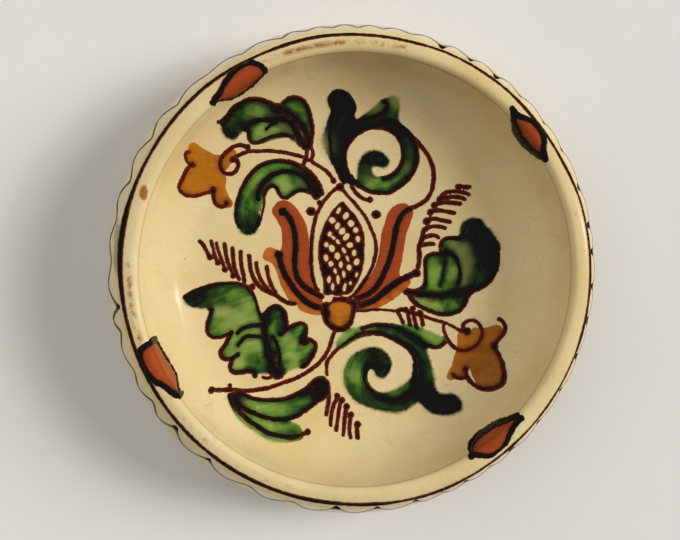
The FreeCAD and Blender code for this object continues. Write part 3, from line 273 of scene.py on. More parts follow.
def cut_sheet(field):
    """The part of a grid where field is above 0, cut along its edge: places i, j, values and triangles."""
    ni, nj = field.shape
    value = field.reshape(-1)
    ids = np.arange(ni * nj).reshape(ni, nj)
    a, b, c, d = ids[:-1, :-1], ids[1:, :-1], ids[1:, 1:], ids[:-1, 1:]
    odd = (np.add.outer(np.arange(ni - 1), np.arange(nj - 1)) % 2).astype(bool)
    tris = np.concatenate([np.stack(t, -1)[chosen] for t, chosen in
                           (((a, b, c), ~odd), ((a, c, d), ~odd), ((a, b, d), odd), ((b, c, d), odd))])
    held = (value[tris] > 0).sum(1)
    whole = tris[held == 3]
    rows, made, extra = [], {}, []

    def between(p, q):
        key = (p, q) if p < q else (q, p)
        if key not in made:
            t = min(max(value[key[0]] / (value[key[0]] - value[key[1]]), 0.05), 0.95)
            made[key] = ni * nj + len(extra)
            extra.append(((1 - t) * (key[0] // nj) + t * (key[1] // nj),
                          (1 - t) * (key[0] % nj) + t * (key[1] % nj)))
        return made[key]

    for tri in tris[(held == 1) | (held == 2)].tolist():
        ins = [value[k] > 0 for k in tri]
        k = ins.index(True) if sum(ins) == 1 else ins.index(False)
        p, q, s = tri[k], tri[(k + 1) % 3], tri[(k + 2) % 3]
        pq, ps = between(p, q), between(p, s)
        rows += [(p, pq, ps)] if sum(ins) == 1 else [(pq, q, s), (pq, s, ps)]
    tris = np.concatenate((whole, np.array(rows, int).reshape(-1, 3)))
    i, j = np.divmod(np.arange(ni * nj), nj)
    if extra:
        more = np.array(extra)
        i, j = np.concatenate((i, more[:, 0])), np.concatenate((j, more[:, 1]))
        value = np.concatenate((value, np.zeros(len(extra))))
    used, tris = np.unique(tris, return_inverse=True)
    return i[used], j[used], value[used], tris.reshape(-1, 3)


def sheet_object(name, points, tris, marks, flat):
    """A painted layer's mesh, with its marks as point attributes and its map laid flat."""
    mesh = bpy.data.meshes.new(name)
    mesh.from_pydata(points.tolist(), [], tris.tolist())
    piece = bpy.data.objects.new(name, mesh)
    bpy.context.scene.collection.objects.link(piece)
    for key, values in marks.items():
        mesh.attributes.new(key, "FLOAT", "POINT").data.foreach_set("value", np.asarray(values, float))
    span = (flat.max(0) - flat.min(0)).max()
    flat = 0.01 + 0.98 * (flat - flat.min(0)) / span
    corners = read(mesh.loops, "vertex_index", kind=int)
    mesh.uv_layers.new(name="OFBake").data.foreach_set("uv", flat[corners].reshape(-1))
    mesh.shade_smooth()
    return piece


def edited_alone(piece):
    """Opens a piece in edit mode, with all of it selected."""
    bpy.ops.object.select_all(action="DESELECT")
    piece.select_set(True)
    bpy.context.view_layer.objects.active = piece
    bpy.ops.object.mode_set(mode="EDIT")
    bpy.ops.mesh.select_all(action="SELECT")


def bead(depth, height, half):
    """How far a trailed line stands up, from the distance to its edge: round shoulders and a slight crown."""
    t = np.clip(depth / half, 0, 1)
    return height * (0.9 * np.sqrt(1 - (1 - t) ** 2) + 0.1 * np.clip(depth / (2 * half), 0, 1))


# ---- materials ----------------------------------------------------------------------------

def add(tree, kind, inputs=(), stops=None, **settings):
    """Adds a node with its settings, and sets or links its inputs. A node given as an input stands for its
    first output in use."""
    node = tree.nodes.new(kind if kind.startswith("Node") else "ShaderNode" + kind)
    for key, value in settings.items():
        setattr(node, key, value)
    for key, value in dict(inputs).items():
        if isinstance(value, bpy.types.Node):
            value = next(socket for socket in value.outputs if socket.enabled)
        if isinstance(value, bpy.types.NodeSocket):
            tree.links.new(value, node.inputs[key])
        else:
            node.inputs[key].default_value = value
    if stops:
        ramp = node.color_ramp.elements
        while len(ramp) < len(stops):
            ramp.new(0.5)
        for element, (place, tint) in zip(ramp, stops):
            element.position = place
            element.color = (*(linear(tint) if isinstance(tint, str) else tint), 1)
    return node


def ring_mask(tree, radius, middle, outer, inner, most=1.0):
    """Strongest on a circle about the plate's axis, and fading out to both sides of it, in metres."""
    off = add(tree, "Math", {0: radius, 1: middle}, operation="SUBTRACT")
    off = add(tree, "Math", {0: off}, operation="ABSOLUTE")
    return add(tree, "MapRange", {"Value": off, "From Min": outer, "From Max": inner, "To Max": most})


def worn_crest(tree, flat, radius, high, rub):
    """The lip's crest rubbed down to brown in broken spots, most on three stretches of the rim."""
    spot = rub
    for middle, reach, lift in (((-0.0256, 0.0956, 0), 0.02, 0.24), ((0.001, 0.099, 0), 0.024, 0.2),
                                ((-0.0975, -0.016, 0), 0.025, 0.18)):
        away = add(tree, "VectorMath", {0: flat, 1: middle}, operation="DISTANCE")
        lift = add(tree, "MapRange", {"Value": away, "From Min": reach, "From Max": reach * 0.5,
                                      "To Max": lift})
        spot = add(tree, "Math", {0: spot, 1: lift}, operation="ADD")
    spot = add(tree, "MapRange", {"Value": spot, "From Min": 0.6, "From Max": 0.8})
    worn = ring_mask(tree, radius, 0.0989, 0.0019, 0.0002)
    for mask in (high, spot):
        worn = add(tree, "Math", {0: worn, 1: mask}, operation="MULTIPLY")
    return worn


def blot(tree, place, rub, middle, size, stretch, most):
    """A blot with a ragged edge, about size metres in radius, and longer along an axis stretched below 1."""
    near = add(tree, "VectorMath", {0: place, 1: middle}, operation="SUBTRACT")
    near = add(tree, "VectorMath", {0: near, 1: stretch}, operation="MULTIPLY")
    near = add(tree, "VectorMath", {0: near}, operation="LENGTH")
    near = add(tree, "Math", {0: rub, 1: -size, 2: near}, operation="MULTIPLY_ADD")
    return add(tree, "MapRange", {"Value": near, "From Min": size * 0.3, "From Max": 0.0, "To Max": most})


def iron_specks(tree, place):
    """Specks and pinholes of half a millimetre, in one cell of seven."""
    speck = add(tree, "TexVoronoi", {"Vector": place, "Scale": 130.0, "Randomness": 1.0})
    dots = add(tree, "MapRange", {"Value": speck, "From Min": 0.055, "From Max": 0.03})
    few = add(tree, "SeparateColor", {0: speck.outputs["Color"]})
    few = add(tree, "Math", {0: few, 1: 0.86}, operation="GREATER_THAN")
    return add(tree, "Math", {0: dots, 1: few}, operation="MULTIPLY")


def faint_crazing(tree, place, cloud):
    """Crazing with a 7 mm mesh, seen only in some clouds of the glaze."""
    craze = add(tree, "TexVoronoi", {"Vector": place, "Scale": 140.0}, feature="DISTANCE_TO_EDGE")
    thin = add(tree, "MapRange", {"Value": craze, "From Min": 0.02, "From Max": 0.008})
    some = add(tree, "MapRange", {"Value": cloud, "From Min": 0.45, "From Max": 0.62, "To Max": 0.16})
    return add(tree, "Math", {0: thin, 1: some}, operation="MULTIPLY")


def cream_ground(colours):
    """The colour of the cream slip under its lead glaze, shared by the dish and by what fades out over it.
    Lead glaze over a white slip looks buttery, with iron specks, pinholes and a worn crest on the lip."""
    tree = bpy.data.node_groups.get("cream_slip_under_lead_glaze")
    if tree:
        return tree
    tree = bpy.data.node_groups.new("cream_slip_under_lead_glaze", "ShaderNodeTree")
    tree.interface.new_socket("Color", in_out="OUTPUT", socket_type="NodeSocketColor")
    place = add(tree, "TexCoord").outputs["Object"]
    flat = add(tree, "VectorMath", {0: place, 1: (1, 1, 0)}, operation="MULTIPLY")
    radius = add(tree, "VectorMath", {0: flat}, operation="LENGTH")
    height = add(tree, "SeparateXYZ", {0: place}).outputs["Z"]
    high = add(tree, "MapRange", {"Value": height, "From Min": 0.0425, "From Max": 0.0434})
    rub = add(tree, "TexNoise", {"Vector": place, "Scale": 210.0, "Detail": 4.0, "Roughness": 0.65})

    cream = tuple(colours.cream)
    cloud = add(tree, "TexNoise", {"Vector": place, "Scale": 26.0, "Detail": 4.0})     # 40 mm clouds
    tone = add(tree, "ValToRGB", {"Fac": cloud}, stops=[
        (0.3, tuple(c * k for c, k in zip(cream, (0.93, 0.88, 0.76)))), (0.55, cream),
        (0.75, tuple(min(c * k, 1) for c, k in zip(cream, (1.04, 1.05, 1.1))))])
    stain = add(tree, "TexNoise", {"Vector": place, "Scale": 70.0, "Detail": 3.0})
    veil = add(tree, "MapRange", {"Value": stain, "From Min": 0.55, "From Max": 0.8, "To Max": 0.35})
    # an ochre spot on the lip, and brown slip smeared out from the rim line beside it
    ochre = blot(tree, place, rub, (-0.0925, 0.0337, 0), 0.0026, (1, 0.5, 0), 0.95)
    ochre = add(tree, "Math", {0: ochre, 1: high}, operation="MULTIPLY")
    smear = blot(tree, place, rub, (-0.1044, 0.0105, 0), 0.0026, (1, 0.15, 0), 0.6)
    # a fine line scored into the slip under the lip, on the inside only
    score = ring_mask(tree, radius, 0.0951, 0.00035, 0.0001, 0.4)
    inner = add(tree, "Math", {0: height, 1: 0.036}, operation="GREATER_THAN")
    score = add(tree, "Math", {0: score, 1: inner}, operation="MULTIPLY")
    worn = worn_crest(tree, flat, radius, high, rub)
    specks, crazing = iron_specks(tree, place), faint_crazing(tree, place, cloud)
    for cover, tint in ((veil, "#d8b878"), (worn, "#9c662b"), (ochre, "#a4651c"), (smear, "#6b4a2c"),
                        (score, "#a58252"), (specks, "#8a6136"), (crazing, "#8a6636")):
        tone = add(tree, "Mix", {"Factor": cover, "A": tone, "B": (*linear(tint), 1)}, data_type="RGBA")
    add(tree, "NodeGroupOutput", {0: tone})
    return tree


def glazed(name, shine=0.32):
    """A lead glazed surface: wet gloss over the colour, and a faint ripple from the running glaze.
    Returns the material, its tree, the shader and the object coordinates."""
    material = bpy.data.materials.new(name)
    material.use_nodes = True
    tree = material.node_tree
    tree.nodes.clear()
    place = add(tree, "TexCoord").outputs["Object"]
    # waves of about 9 mm, with finer ones of 1.5 mm, tenths of a millimetre high
    swell = add(tree, "TexNoise", {"Vector": place, "Scale": 110.0, "Detail": 3.0})
    bump = add(tree, "Bump", {"Height": swell, "Strength": 0.35, "Distance": 0.0005})
    shader = add(tree, "BsdfPrincipled", {"Roughness": 0.17, "IOR": 1.5, "Specular IOR Level": shine,
                                          "Normal": bump})
    add(tree, "OutputMaterial", {0: shader})
    return material, tree, shader, place


def cream_glaze(colours):
    """Clear lead glaze over the cream slip: buttery and wet."""
    material, tree, shader, _ = glazed("lead_glaze_over_cream_slip")
    ground = add(tree, "Group", node_tree=cream_ground(colours))
    tree.links.new(ground.outputs[0], shader.inputs["Base Color"])
    return material


def manganese_slip(name, stops, shine=0.25):
    """Manganese and iron slip from a trailer: red brown where it is thin, nearly black where it is thick or
    lies in another colour, with grains of the oxide."""
    material, tree, shader, place = glazed(name, shine)
    depth = add(tree, "Attribute", attribute_name="depth").outputs["Fac"]
    over = add(tree, "Attribute", attribute_name="over").outputs["Fac"]
    grain = add(tree, "TexNoise", {"Vector": place, "Scale": 1100.0, "Detail": 3.0})    # 0.9 mm
    jitter = add(tree, "MapRange", {"Value": grain, "From Min": 0.3, "From Max": 0.7, "To Min": -0.2,
                                    "To Max": 0.2})
    level = add(tree, "Math", {0: depth, 1: 0.72, 2: jitter}, operation="MULTIPLY_ADD")
    tone = add(tree, "ValToRGB", {"Fac": level}, stops=stops)
    tone = add(tree, "Mix", {"Factor": over, "A": tone, "B": (*linear("#0d0906"), 1)}, data_type="RGBA")
    tree.links.new(tone.outputs["Result"], shader.inputs["Base Color"])
    return material


def brushed_oxide(name, colours, ramp, pale, crazed):
    """A colour brushed over the cream and melted into the glaze: it fades out at its edge, gathers where the
    brush left a pool, and crazes darker."""
    material, tree, shader, place = glazed(name)
    cover, pool, light = (add(tree, "Attribute", attribute_name=mark).outputs["Fac"]
                          for mark in ("cover", "pool", "pale"))
    ground = add(tree, "Group", node_tree=cream_ground(colours))
    cloud = add(tree, "TexNoise", {"Vector": place, "Scale": 300.0, "Detail": 4.0})     # 3 mm clouds
    cloud = add(tree, "MapRange", {"Value": cloud, "From Min": 0.3, "From Max": 0.7, "To Min": -0.1,
                                   "To Max": 0.1})
    level = add(tree, "Math", {0: pool, 1: cloud}, operation="ADD")
    # crazing with a 3 mm mesh
    craze = add(tree, "TexVoronoi", {"Vector": place, "Scale": 330.0}, feature="DISTANCE_TO_EDGE")
    craze = add(tree, "MapRange", {"Value": craze, "From Min": 0.05, "From Max": 0.02, "To Max": crazed})
    ragged = add(tree, "TexNoise", {"Vector": place, "Scale": 700.0, "Detail": 3.0})    # 1.4 mm
    ragged = add(tree, "MapRange", {"Value": ragged, "From Min": 0.3, "From Max": 0.7, "To Min": -0.13,
                                    "To Max": 0.13})
    fade = add(tree, "Math", {0: cover, 1: ragged}, operation="ADD")
    fade = add(tree, "MapRange", {"Value": fade, "From Min": 0.2, "From Max": 1.0},
               interpolation_type="SMOOTHSTEP")
    tone = add(tree, "ValToRGB", {"Fac": level}, stops=ramp)
    for share, tint in ((light, pale), (craze, linear("#1c0f06"))):
        tone = add(tree, "Mix", {"Factor": share, "A": tone, "B": (*tint, 1)}, data_type="RGBA")
    tone = add(tree, "Mix", {"Factor": fade, "A": ground, "B": tone}, data_type="RGBA")
    tree.links.new(tone.outputs["Result"], shader.inputs["Base Color"])
    return material


def bare_clay(colours):
    """Low fired red earthenware, unglazed: matt, open, with grog and smears of slip."""
    material = bpy.data.materials.new("bare_red_earthenware")
    material.use_nodes = True
    tree = material.node_tree
    tree.nodes.clear()
    place = add(tree, "TexCoord").outputs["Object"]
    clay = tuple(colours.clay)
    cloud = add(tree, "TexNoise", {"Vector": place, "Scale": 45.0, "Detail": 5.0})
    tone = add(tree, "ValToRGB", {"Fac": cloud}, stops=[
        (0.25, tuple(c * 0.72 for c in clay)), (0.55, clay), (0.8, tuple(min(c * 1.25, 1) for c in clay))])
    grog = add(tree, "TexNoise", {"Vector": place, "Scale": 1300.0, "Detail": 2.0})    # 0.8 mm grit
    dots = add(tree, "MapRange", {"Value": grog, "From Min": 0.62, "From Max": 0.7, "To Max": 0.5})
    tone = add(tree, "Mix", {"Factor": dots, "A": tone, "B": (*linear("#e0b48c"), 1)}, data_type="RGBA")
    bump = add(tree, "Bump", {"Height": grog, "Strength": 0.5, "Distance": 0.0002})
    shader = add(tree, "BsdfPrincipled", {"Base Color": tone, "Roughness": 0.82, "Normal": bump})
    add(tree, "OutputMaterial", {0: shader})
    return material


# ---- properties ---------------------------------------------------------------------------

class PlateSizes(bpy.types.PropertyGroup):
    trail: FloatProperty(name="Trail height", description="How far a trailed line stands up from the glaze",
                         default=0.00042, min=0.0001, max=0.001, unit="LENGTH", precision=5)
    wash: FloatProperty(name="Wash height", description="How far a brushed colour stands up from the glaze",
                        default=0.00012, min=0.00003, max=0.0004, unit="LENGTH", precision=5)
    bleed: FloatProperty(name="Bleed", description="How far the green runs out past its edge",
                         default=0.0012, min=0.0002, max=0.003, unit="LENGTH", precision=5)
    waver: FloatProperty(name="Waver", description="How much the edge of a trailed line wavers",
                         default=0.00017, min=0, max=0.0005, unit="LENGTH", precision=5)
    camera_height: FloatProperty(name="Camera height", description="Camera above the table", default=0.479,
                                 min=0.2, max=3, unit="LENGTH")


class PlateColours(bpy.types.PropertyGroup):
    cream: colour("Cream", "Cream slip under the glaze", "#e7d09a")
    slip: colour("Brown slip", "Trailed manganese slip of middle strength", "#581706")
    red: colour("Red", "Brushed iron red", "#a04319")
    ochre: colour("Ochre", "Brushed ochre", "#b46a12")
    green: colour("Green", "Brushed copper green of middle strength", "#557b25")
    clay: colour("Clay", "Bare fired clay", "#b06a45")
    floor: colour("Floor", "Table under the plate", "#efece6")


def frame_slot(node):
    """The material slot that the frame's record gives a node."""
    for part in frame["record"]["subparts"]:
        if part["node"] == node:
            return part["material_slot"]
    raise RuntimeError("no material slot for " + node)


def done(piece, material, slot, *nodes):
    """Gives a finished piece its material and ties it to the frame."""
    piece.data.materials.clear()
    piece.data.materials.append(material)
    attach(piece, "root")
    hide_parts(*nodes)


# ---- dish and foot ------------------------------------------------------------------------

def turned(name, rows):
    """A polyline in the half plane, spun about the plate's axis."""
    mesh = bpy.data.meshes.new(name)
    mesh.from_pydata([(r * MM, 0, z * MM) for r, z in rows], [(k, k + 1) for k in range(len(rows) - 1)], [])
    piece = bpy.data.objects.new(name, mesh)
    bpy.context.scene.collection.objects.link(piece)
    edited_alone(piece)
    bpy.ops.mesh.spin(steps=480, angle=2 * math.pi, center=(0, 0, 0), axis=(0, 0, 1))
    bpy.ops.mesh.select_all(action="SELECT")
    bpy.ops.mesh.remove_doubles(threshold=WELD)
    bpy.ops.mesh.normals_make_consistent(inside=False)
    bpy.ops.object.mode_set(mode="OBJECT")
    piece.data.shade_smooth()
    return piece


def thinned(r, z, heading, step, bend):
    """Which rows of a section to keep: one each step mm, and one each bend degrees."""
    keep, last_s, last_h, s = [0], 0.0, heading[0], 0.0
    for k in range(1, len(r)):
        s += math.hypot(r[k] - r[k - 1], z[k] - z[k - 1])
        if s - last_s >= step or abs(heading[k] - last_h) >= math.radians(bend) or k == len(r) - 1:
            keep.append(k)
            last_s, last_h = s, heading[k]
    return keep


def lay_dish_map(mesh):
    """Lays what looks up out flat as a disc, and the collar and underside as a strip below it."""
    reach = 0.111                       # just past the rim
    disc_x, disc_y, disc_half = 0.44, 0.56, 0.43
    counts = read(mesh.polygons, "loop_total", kind=int)
    inner = np.repeat(read(mesh.polygons, "normal", 3)[:, 2] > 0.2, counts)
    x, y, z = read(mesh.vertices, "co", 3)[read(mesh.loops, "vertex_index", kind=int)].T
    # turns about the axis, kept on one side of the seam within each face
    turn = np.arctan2(y, x) / (2 * math.pi)
    first = np.repeat(turn[np.cumsum(counts) - counts], counts)
    turn = np.where(turn - first > 0.5, turn - 1, np.where(first - turn > 0.5, turn + 1, turn)) + 0.5
    down = np.interp(-z, [-0.045, 0], [0, 1]) * 0.04 + np.clip((reach - np.hypot(x, y)) / 0.05, 0, 1) * 0.05
    u = np.where(inner, disc_x + x / reach * disc_half, 0.01 + 0.96 * turn)
    v = np.where(inner, disc_y + y / reach * disc_half, 0.01 + down)
    mesh.uv_layers.new(name="OFBake").data.foreach_set("uv", np.stack((u, v), 1).reshape(-1))


class PLATE_OT_dish(bpy.types.Operator):
    """Turns the glazed dish, its lip and its collar"""
    bl_idname = "plate.dish"
    bl_label = "Glazed dish"

    def execute(self, context):
        line = [(SKIN.r[k], SKIN.z[k]) for k in thinned(SKIN.r, SKIN.z, SKIN.heading, 2.4, 5)]
        # the glaze ends under the bowl in a rounded edge
        r, z, h = half_section(*GLAZED)[-1]
        for lift, back in ((0.5, 0.25), (0.25, 0.42), (-0.1, 0.45)):
            line.append((r - back - lift * math.sin(h), z + lift * math.cos(h)))
        line[0] = (0.0, line[0][1])
        piece = turned("glazed_dish", line)
        lay_dish_map(piece.data)
        done(piece, cream_glaze(context.scene.plate_colours), "cream_glaze", "cream_glaze")
        return {"FINISHED"}


class PLATE_OT_foot(bpy.types.Operator):
    """Turns the bare foot ring and underside"""
    bl_idname = "plate.foot"
    bl_label = "Bare foot"

    def execute(self, context):
        rows = half_section(*BARE)
        # the clay is drawn from here inwards; the glaze ends 4.5 mm further out, and the ring between is open
        first_r = 72.0
        r, z, h = rows[int(np.argmax(rows[:, 0] < first_r)):].T
        line = [(r[k], z[k]) for k in thinned(r, z, h, 3.0, 10)]
        # up into the body, so that the clay is a closed shape
        line = [(0.0, 9.0), (60.0, 9.6), (line[0][0] - 1.0, line[0][1] + 1.5)] + line
        line[-1] = (0.0, line[-1][1])
        piece = turned("clay_foot", line)
        done(piece, bare_clay(context.scene.plate_colours), "earthenware", "clay_body")
        return {"FINISHED"}


# ---- painting -----------------------------------------------------------------------------

# Where a brushed colour gathers, in mm: x, y, radius, strength.
POOLS = {
    "leaf_nw_green": [
        (-57, 63, 4.5, 1.05), (-52, 64.5, 3.5, 0.95), (-57, 68, 3, 0.7), (-48, 66.5, 2.5, 0.7),
        (-52, 73, 3, 0.7), (-46, 76, 3, 0.65), (-40, 75.5, 2.5, 0.6), (-36, 72, 3, 0.85),
        (-32, 69.5, 3, 0.85), (-28, 66, 3.5, 0.95), (-24.5, 61, 3.2, 1.0), (-21.5, 57, 2.5, 1.0),
        (-28, 61, 2.5, 0.7), (-24, 75, 4, 0.55), (-22, 68, 2.5, 0.6),
    ],
    "leaf_w_green": [
        (-48, 18, 4, 1.05), (-51, 22, 3, 0.85), (-45, 22, 2.5, 0.8), (-47, 27, 3.5, 0.6),
        (-51.5, 31, 2.5, 0.65), (-46, 35, 3, 0.5), (-18, 36, 4.2, 1.1), (-21, 40, 3, 0.85),
        (-26.5, 42.5, 2.5, 0.55), (-24, 45.5, 2.5, 0.65), (-40, 38, 2.4, 0.7), (-38, 46, 3, 0.45),
    ],
    "leaf_e_green": [
        (57, 21, 5, 1.1), (55, 15, 4, 1.1), (62, 17, 5, 1.1), (64, 11, 5.5, 1.1), (58, 9, 4.5, 1.1),
        (65, 4, 5.5, 1.1), (59, 3, 4.5, 1.05), (64, -3, 4, 0.9), (58, -3, 3, 0.85), (57, -8, 3.5, 1.0),
        (62, -6, 3.5, 0.85), (45.5, 8.5, 2.5, 0.8), (43, 4, 2.2, 0.75), (43.5, -2, 1.6, 0.65),
        (43, -7, 2, 0.6), (49.5, -8, 3, 0.8), (46, 4, 2, 0.6), (37, 4, 2.5, 0.5), (32, -9.5, 2.5, 0.65),
        (36, -12.5, 2.2, 0.7), (43, -12.7, 2.2, 0.7), (50, -12, 2.8, 0.9), (46, -19, 2.5, 0.55),
        (52, -15, 2, 0.7),
    ],
    "leaf_sw_green": [
        (-76, -12, 4, 1.1), (-71.5, -13, 4.5, 1.1), (-67, -13, 4.3, 0.88), (-63, -13.5, 4.3, 0.72),
        (-59, -14, 4.2, 0.64), (-54, -12, 4.5, 0.48), (-63, -25, 3, 0.42), (-39.5, -22, 2.3, 1.0),
        (-32, -22, 2.2, 0.85), (-36, -16.8, 2.6, 0.8), (-33, -27, 2.2, 0.8), (-40, -33, 2, 0.75),
        (-38.5, -39, 2.2, 0.85), (-37, -47, 3, 1.0), (-46, -42, 3, 0.62), (-43, -45, 2.5, 0.7),
        (-27, -29, 2, 0.5), (-29.5, -33, 2, 0.5), (-25, -37.5, 2, 0.48), (-30, -43, 2, 0.45),
        (-19, -40, 1.8, 0.65), (-22, -43.5, 2, 0.75), (-21.5, -31, 2.2, 0.8),
    ],
    "leaf_s_green": [
        (-56, -58, 3, 1.0), (-53, -61, 2.5, 0.8), (-16, -55, 5, 1.1), (-20, -57.5, 3.5, 0.9),
        (-13.5, -52, 4, 1.1), (-22, -61, 3, 0.62), (-29, -72, 2.6, 0.6), (-33, -72, 2.4, 0.48),
        (-50, -64, 2.2, 0.5), (-27, -64, 3, 0.55),
    ],
    "scroll_n_green": [
        (-7, 80, 6, 1.1), (-8, 74, 6, 1.1), (-8.5, 67, 5, 1.1), (-8.5, 60, 4.5, 1.1), (-7, 54, 4.5, 1.1),
        (-5, 48, 4.5, 1.1), (-3, 43, 4, 1.1), (-2, 68, 4, 1.05), (-2, 62, 3.5, 1.05), (5, 68.5, 3.5, 1.0),
        (12, 69.5, 3.5, 1.0), (18, 68, 3.5, 1.0), (23, 64, 3.2, 0.9), (27.5, 58, 3, 0.85), (29, 51, 3, 0.85),
        (27, 44.5, 3, 0.75), (21, 39.5, 3, 0.65), (14, 38, 2.5, 0.5), (14, 52, 4.5, 1.1), (10, 54, 4, 1.1),
        (6, 52, 4, 1.1), (4.5, 48, 3.5, 1.0), (7, 45, 2.8, 0.75), (3.5, 45, 3, 0.7), (14, 76, 2.5, 0.6),
        (18, 72, 3, 0.6),
    ],
    "scroll_s_green": [
        (12, -44, 5, 1.1), (8, -39.5, 4, 0.95), (14, -39, 4, 1.0), (16, -47, 3, 1.0), (3, -38.5, 3, 0.7),
        (-1, -42, 3.5, 0.55), (-4, -51, 3, 0.55), (-1, -57, 3, 0.72), (5, -61, 3.5, 0.82),
        (11, -63, 3.5, 0.85), (17, -63, 4, 0.9), (24, -62, 4, 0.95), (30, -38, 3.2, 1.0),
        (31, -45, 3.6, 1.05), (31, -52, 3.8, 1.05), (33, -58, 4.5, 1.1), (27, -34, 3, 0.9),
        (22, -31, 2.6, 0.8), (15, -27.5, 2.4, 0.65), (36, -63, 5, 1.1), (43, -63, 6, 1.15),
        (49, -62, 5, 1.15), (39, -59, 4, 1.1), (20, -57, 2.6, 0.55),
    ],
    "boss_ochre": [(-10, -24, 2, 0.6), (-2, -24, 2, 0.6)],
    "bell_flower_left_ochre": [(-73, 40, 6, 0.4), (-63, 50, 4, 0.45), (-60, 32, 3, 0.5)],
    "bell_flower_right_ochre": [(60, -45, 7, 0.7), (66, -30, 4, 0.6), (51, -45, 4, 0.6)],
}

# Where it stays thin, or was laid over a yellow: x, y, radius, strength.
PALES = {
    "leaf_nw_green": [
        (-44, 71, 3, 0.2), (-41, 62, 3.5, 0.35), (-35, 64.5, 2.5, 0.25), (-24, 62.5, 1.0, 0.6),
        (-35, 57, 7, 0.5),
    ],
    "leaf_w_green": [
        (-32.5, 38.5, 2.6, 0.55), (-34, 41.5, 2.2, 0.25), (-24, 38.5, 2.2, 0.25), (-43, 41, 3, 0.15),
    ],
    "leaf_e_green": [
        (47.5, 12.3, 2.1, 0.5), (51.5, 8.4, 2.6, 0.5), (52.8, 3.5, 2.6, 0.5), (52, -1, 2.4, 0.5),
        (51.3, -5, 2.0, 0.4), (38, -1, 2.6, 0.3), (47, -3, 2.2, 0.25), (33, -17.5, 3, 0.8),
        (38.5, -19, 2.5, 0.5),
    ],
    "leaf_sw_green": [
        (-62.5, -19.5, 2, 0.85), (-58.5, -19.5, 2, 0.85), (-54.5, -20.5, 2, 0.6), (-49, -18, 3, 0.3),
        (-58, -26, 2.4, 0.5), (-50, -24, 2.6, 0.4), (-58, -33, 2.4, 0.4), (-47, -34, 3.5, 0.3),
        (-54, -41.5, 2.8, 0.9), (-51, -37, 2.4, 0.4), (-31, -31, 1.8, 0.6), (-28, -35, 1.6, 0.6),
        (-23.5, -34.5, 1.6, 0.3), (-28, -40, 1.6, 0.55), (-27, -45, 1.8, 0.5),
    ],
    "leaf_s_green": [
        (-42, -62, 3.5, 0.25), (-48, -60.5, 2.2, 0.3), (-44, -70.5, 2.8, 0.4), (-38, -72, 2.5, 0.35),
        (-53, -69, 3.5, 0.6), (-46, -75.5, 3.5, 0.6), (-36, -79, 4, 0.5),
    ],
    "scroll_n_green": [
        (-17, 57, 4.5, 0.75), (24.5, 47, 2, 0.2), (19.5, 78, 2.6, 0.5), (8, 41, 2.2, 0.2), (10, 75, 3, 0.35),
    ],
    "scroll_s_green": [(0.5, -49.5, 2, 0.35), (-5, -31, 3, 0.45), (38, -28.5, 3, 0.4), (4, -25.5, 2, 0.3)],
    "tulip_petal_left_red": [
        (-40, 7, 3, 0.9), (-37, 4, 2.4, 0.6), (-35, -1, 1.7, 0.6), (-33, -6, 1.7, 0.7), (-31, -11, 1.8, 0.75),
        (-28, -14.5, 2, 0.85), (-23, -19, 2.4, 0.9), (-17.5, -20.8, 2.2, 0.9),
    ],
    "tulip_petal_right_red": [
        (25.5, -8, 2, 0.7), (21, -12.5, 2, 0.85), (15, -16.5, 2, 0.9), (8, -18.6, 2.2, 0.9),
        (3.5, -18.6, 2, 0.8),
    ],
    "rim_petal_red_sw": [(-84.5, -52.5, 2.2, 0.6)],
}

# How the brush went, for its streaks: along an angle in degrees, or round a point in mm.
STROKES = {
    "leaf_nw_green": (-14,), "leaf_w_green": (-33, 27), "leaf_e_green": (70,), "leaf_sw_green": (18,),
    "leaf_s_green": (10,), "scroll_n_green": (12, 54), "scroll_s_green": (17, -50),
}

# Where the green ran out into the glaze past its lines, in mm: x, y, radius, how much further.
HAZES = {
    "scroll_n_green": [(-17, 58, 7, 2.6), (18, 78, 4, 0.8), (-13, 75, 5, 0.8)],
    "leaf_nw_green": [(-36, 57, 8, 2.6)],
    "leaf_s_green": [(-52, -67, 8, 1.6), (-40, -77, 8, 1.0)],
    "leaf_e_green": [(70, 15, 8, 1.0)],
    "scroll_s_green": [(39, -50, 6, 1.8), (20, -66, 9, 1.0)],
}

# How far colour gathers away from every pool, and how firmly that holds against the pools.
POOL_AWAY, POOL_HOLD = 0.25, 0.35

# How deep the edges of lines and washes lie in the glaze, mm.
LINE_SUNK, WASH_SUNK = -0.06, -0.04

# The grid over the whole plate on which the paint's places are kept, mm.
PLAN_LOW, PLAN_PITCH, PLAN_COUNT = -112.0, 0.4, 561


def soft_sum(x, y, places):
    """The strongest of some soft places at each plan point."""
    total = np.zeros(np.shape(x))
    for px, py, radius, strength in places:
        total = np.maximum(total, strength * np.exp(-((x - px) ** 2 + (y - py) ** 2) / (radius * radius)))
    return total


def blended(x, y, places, base, hold):
    """Strengths of soft places run into each other, over a base that holds where none is near."""
    total, weight = np.full(np.shape(x), base * hold), np.full(np.shape(x), hold)
    for px, py, radius, strength in places:
        w = 4 * np.exp(-((x - px) ** 2 + (y - py) ** 2) / (radius * radius))
        total += w * strength
        weight += w
    return total / weight


def read_grid(grid, x, y):
    """Values of a grid over the whole plate at plan points."""
    i, j = (np.clip((v - PLAN_LOW) / PLAN_PITCH, 0, PLAN_COUNT - 1.01) for v in (x, y))
    a, b = i.astype(int), j.astype(int)
    u, v = i - a, j - b
    return (grid[a, b] * (1 - u) * (1 - v) + grid[a + 1, b] * u * (1 - v) + grid[a, b + 1] * (1 - u) * v
            + grid[a + 1, b + 1] * u * v)


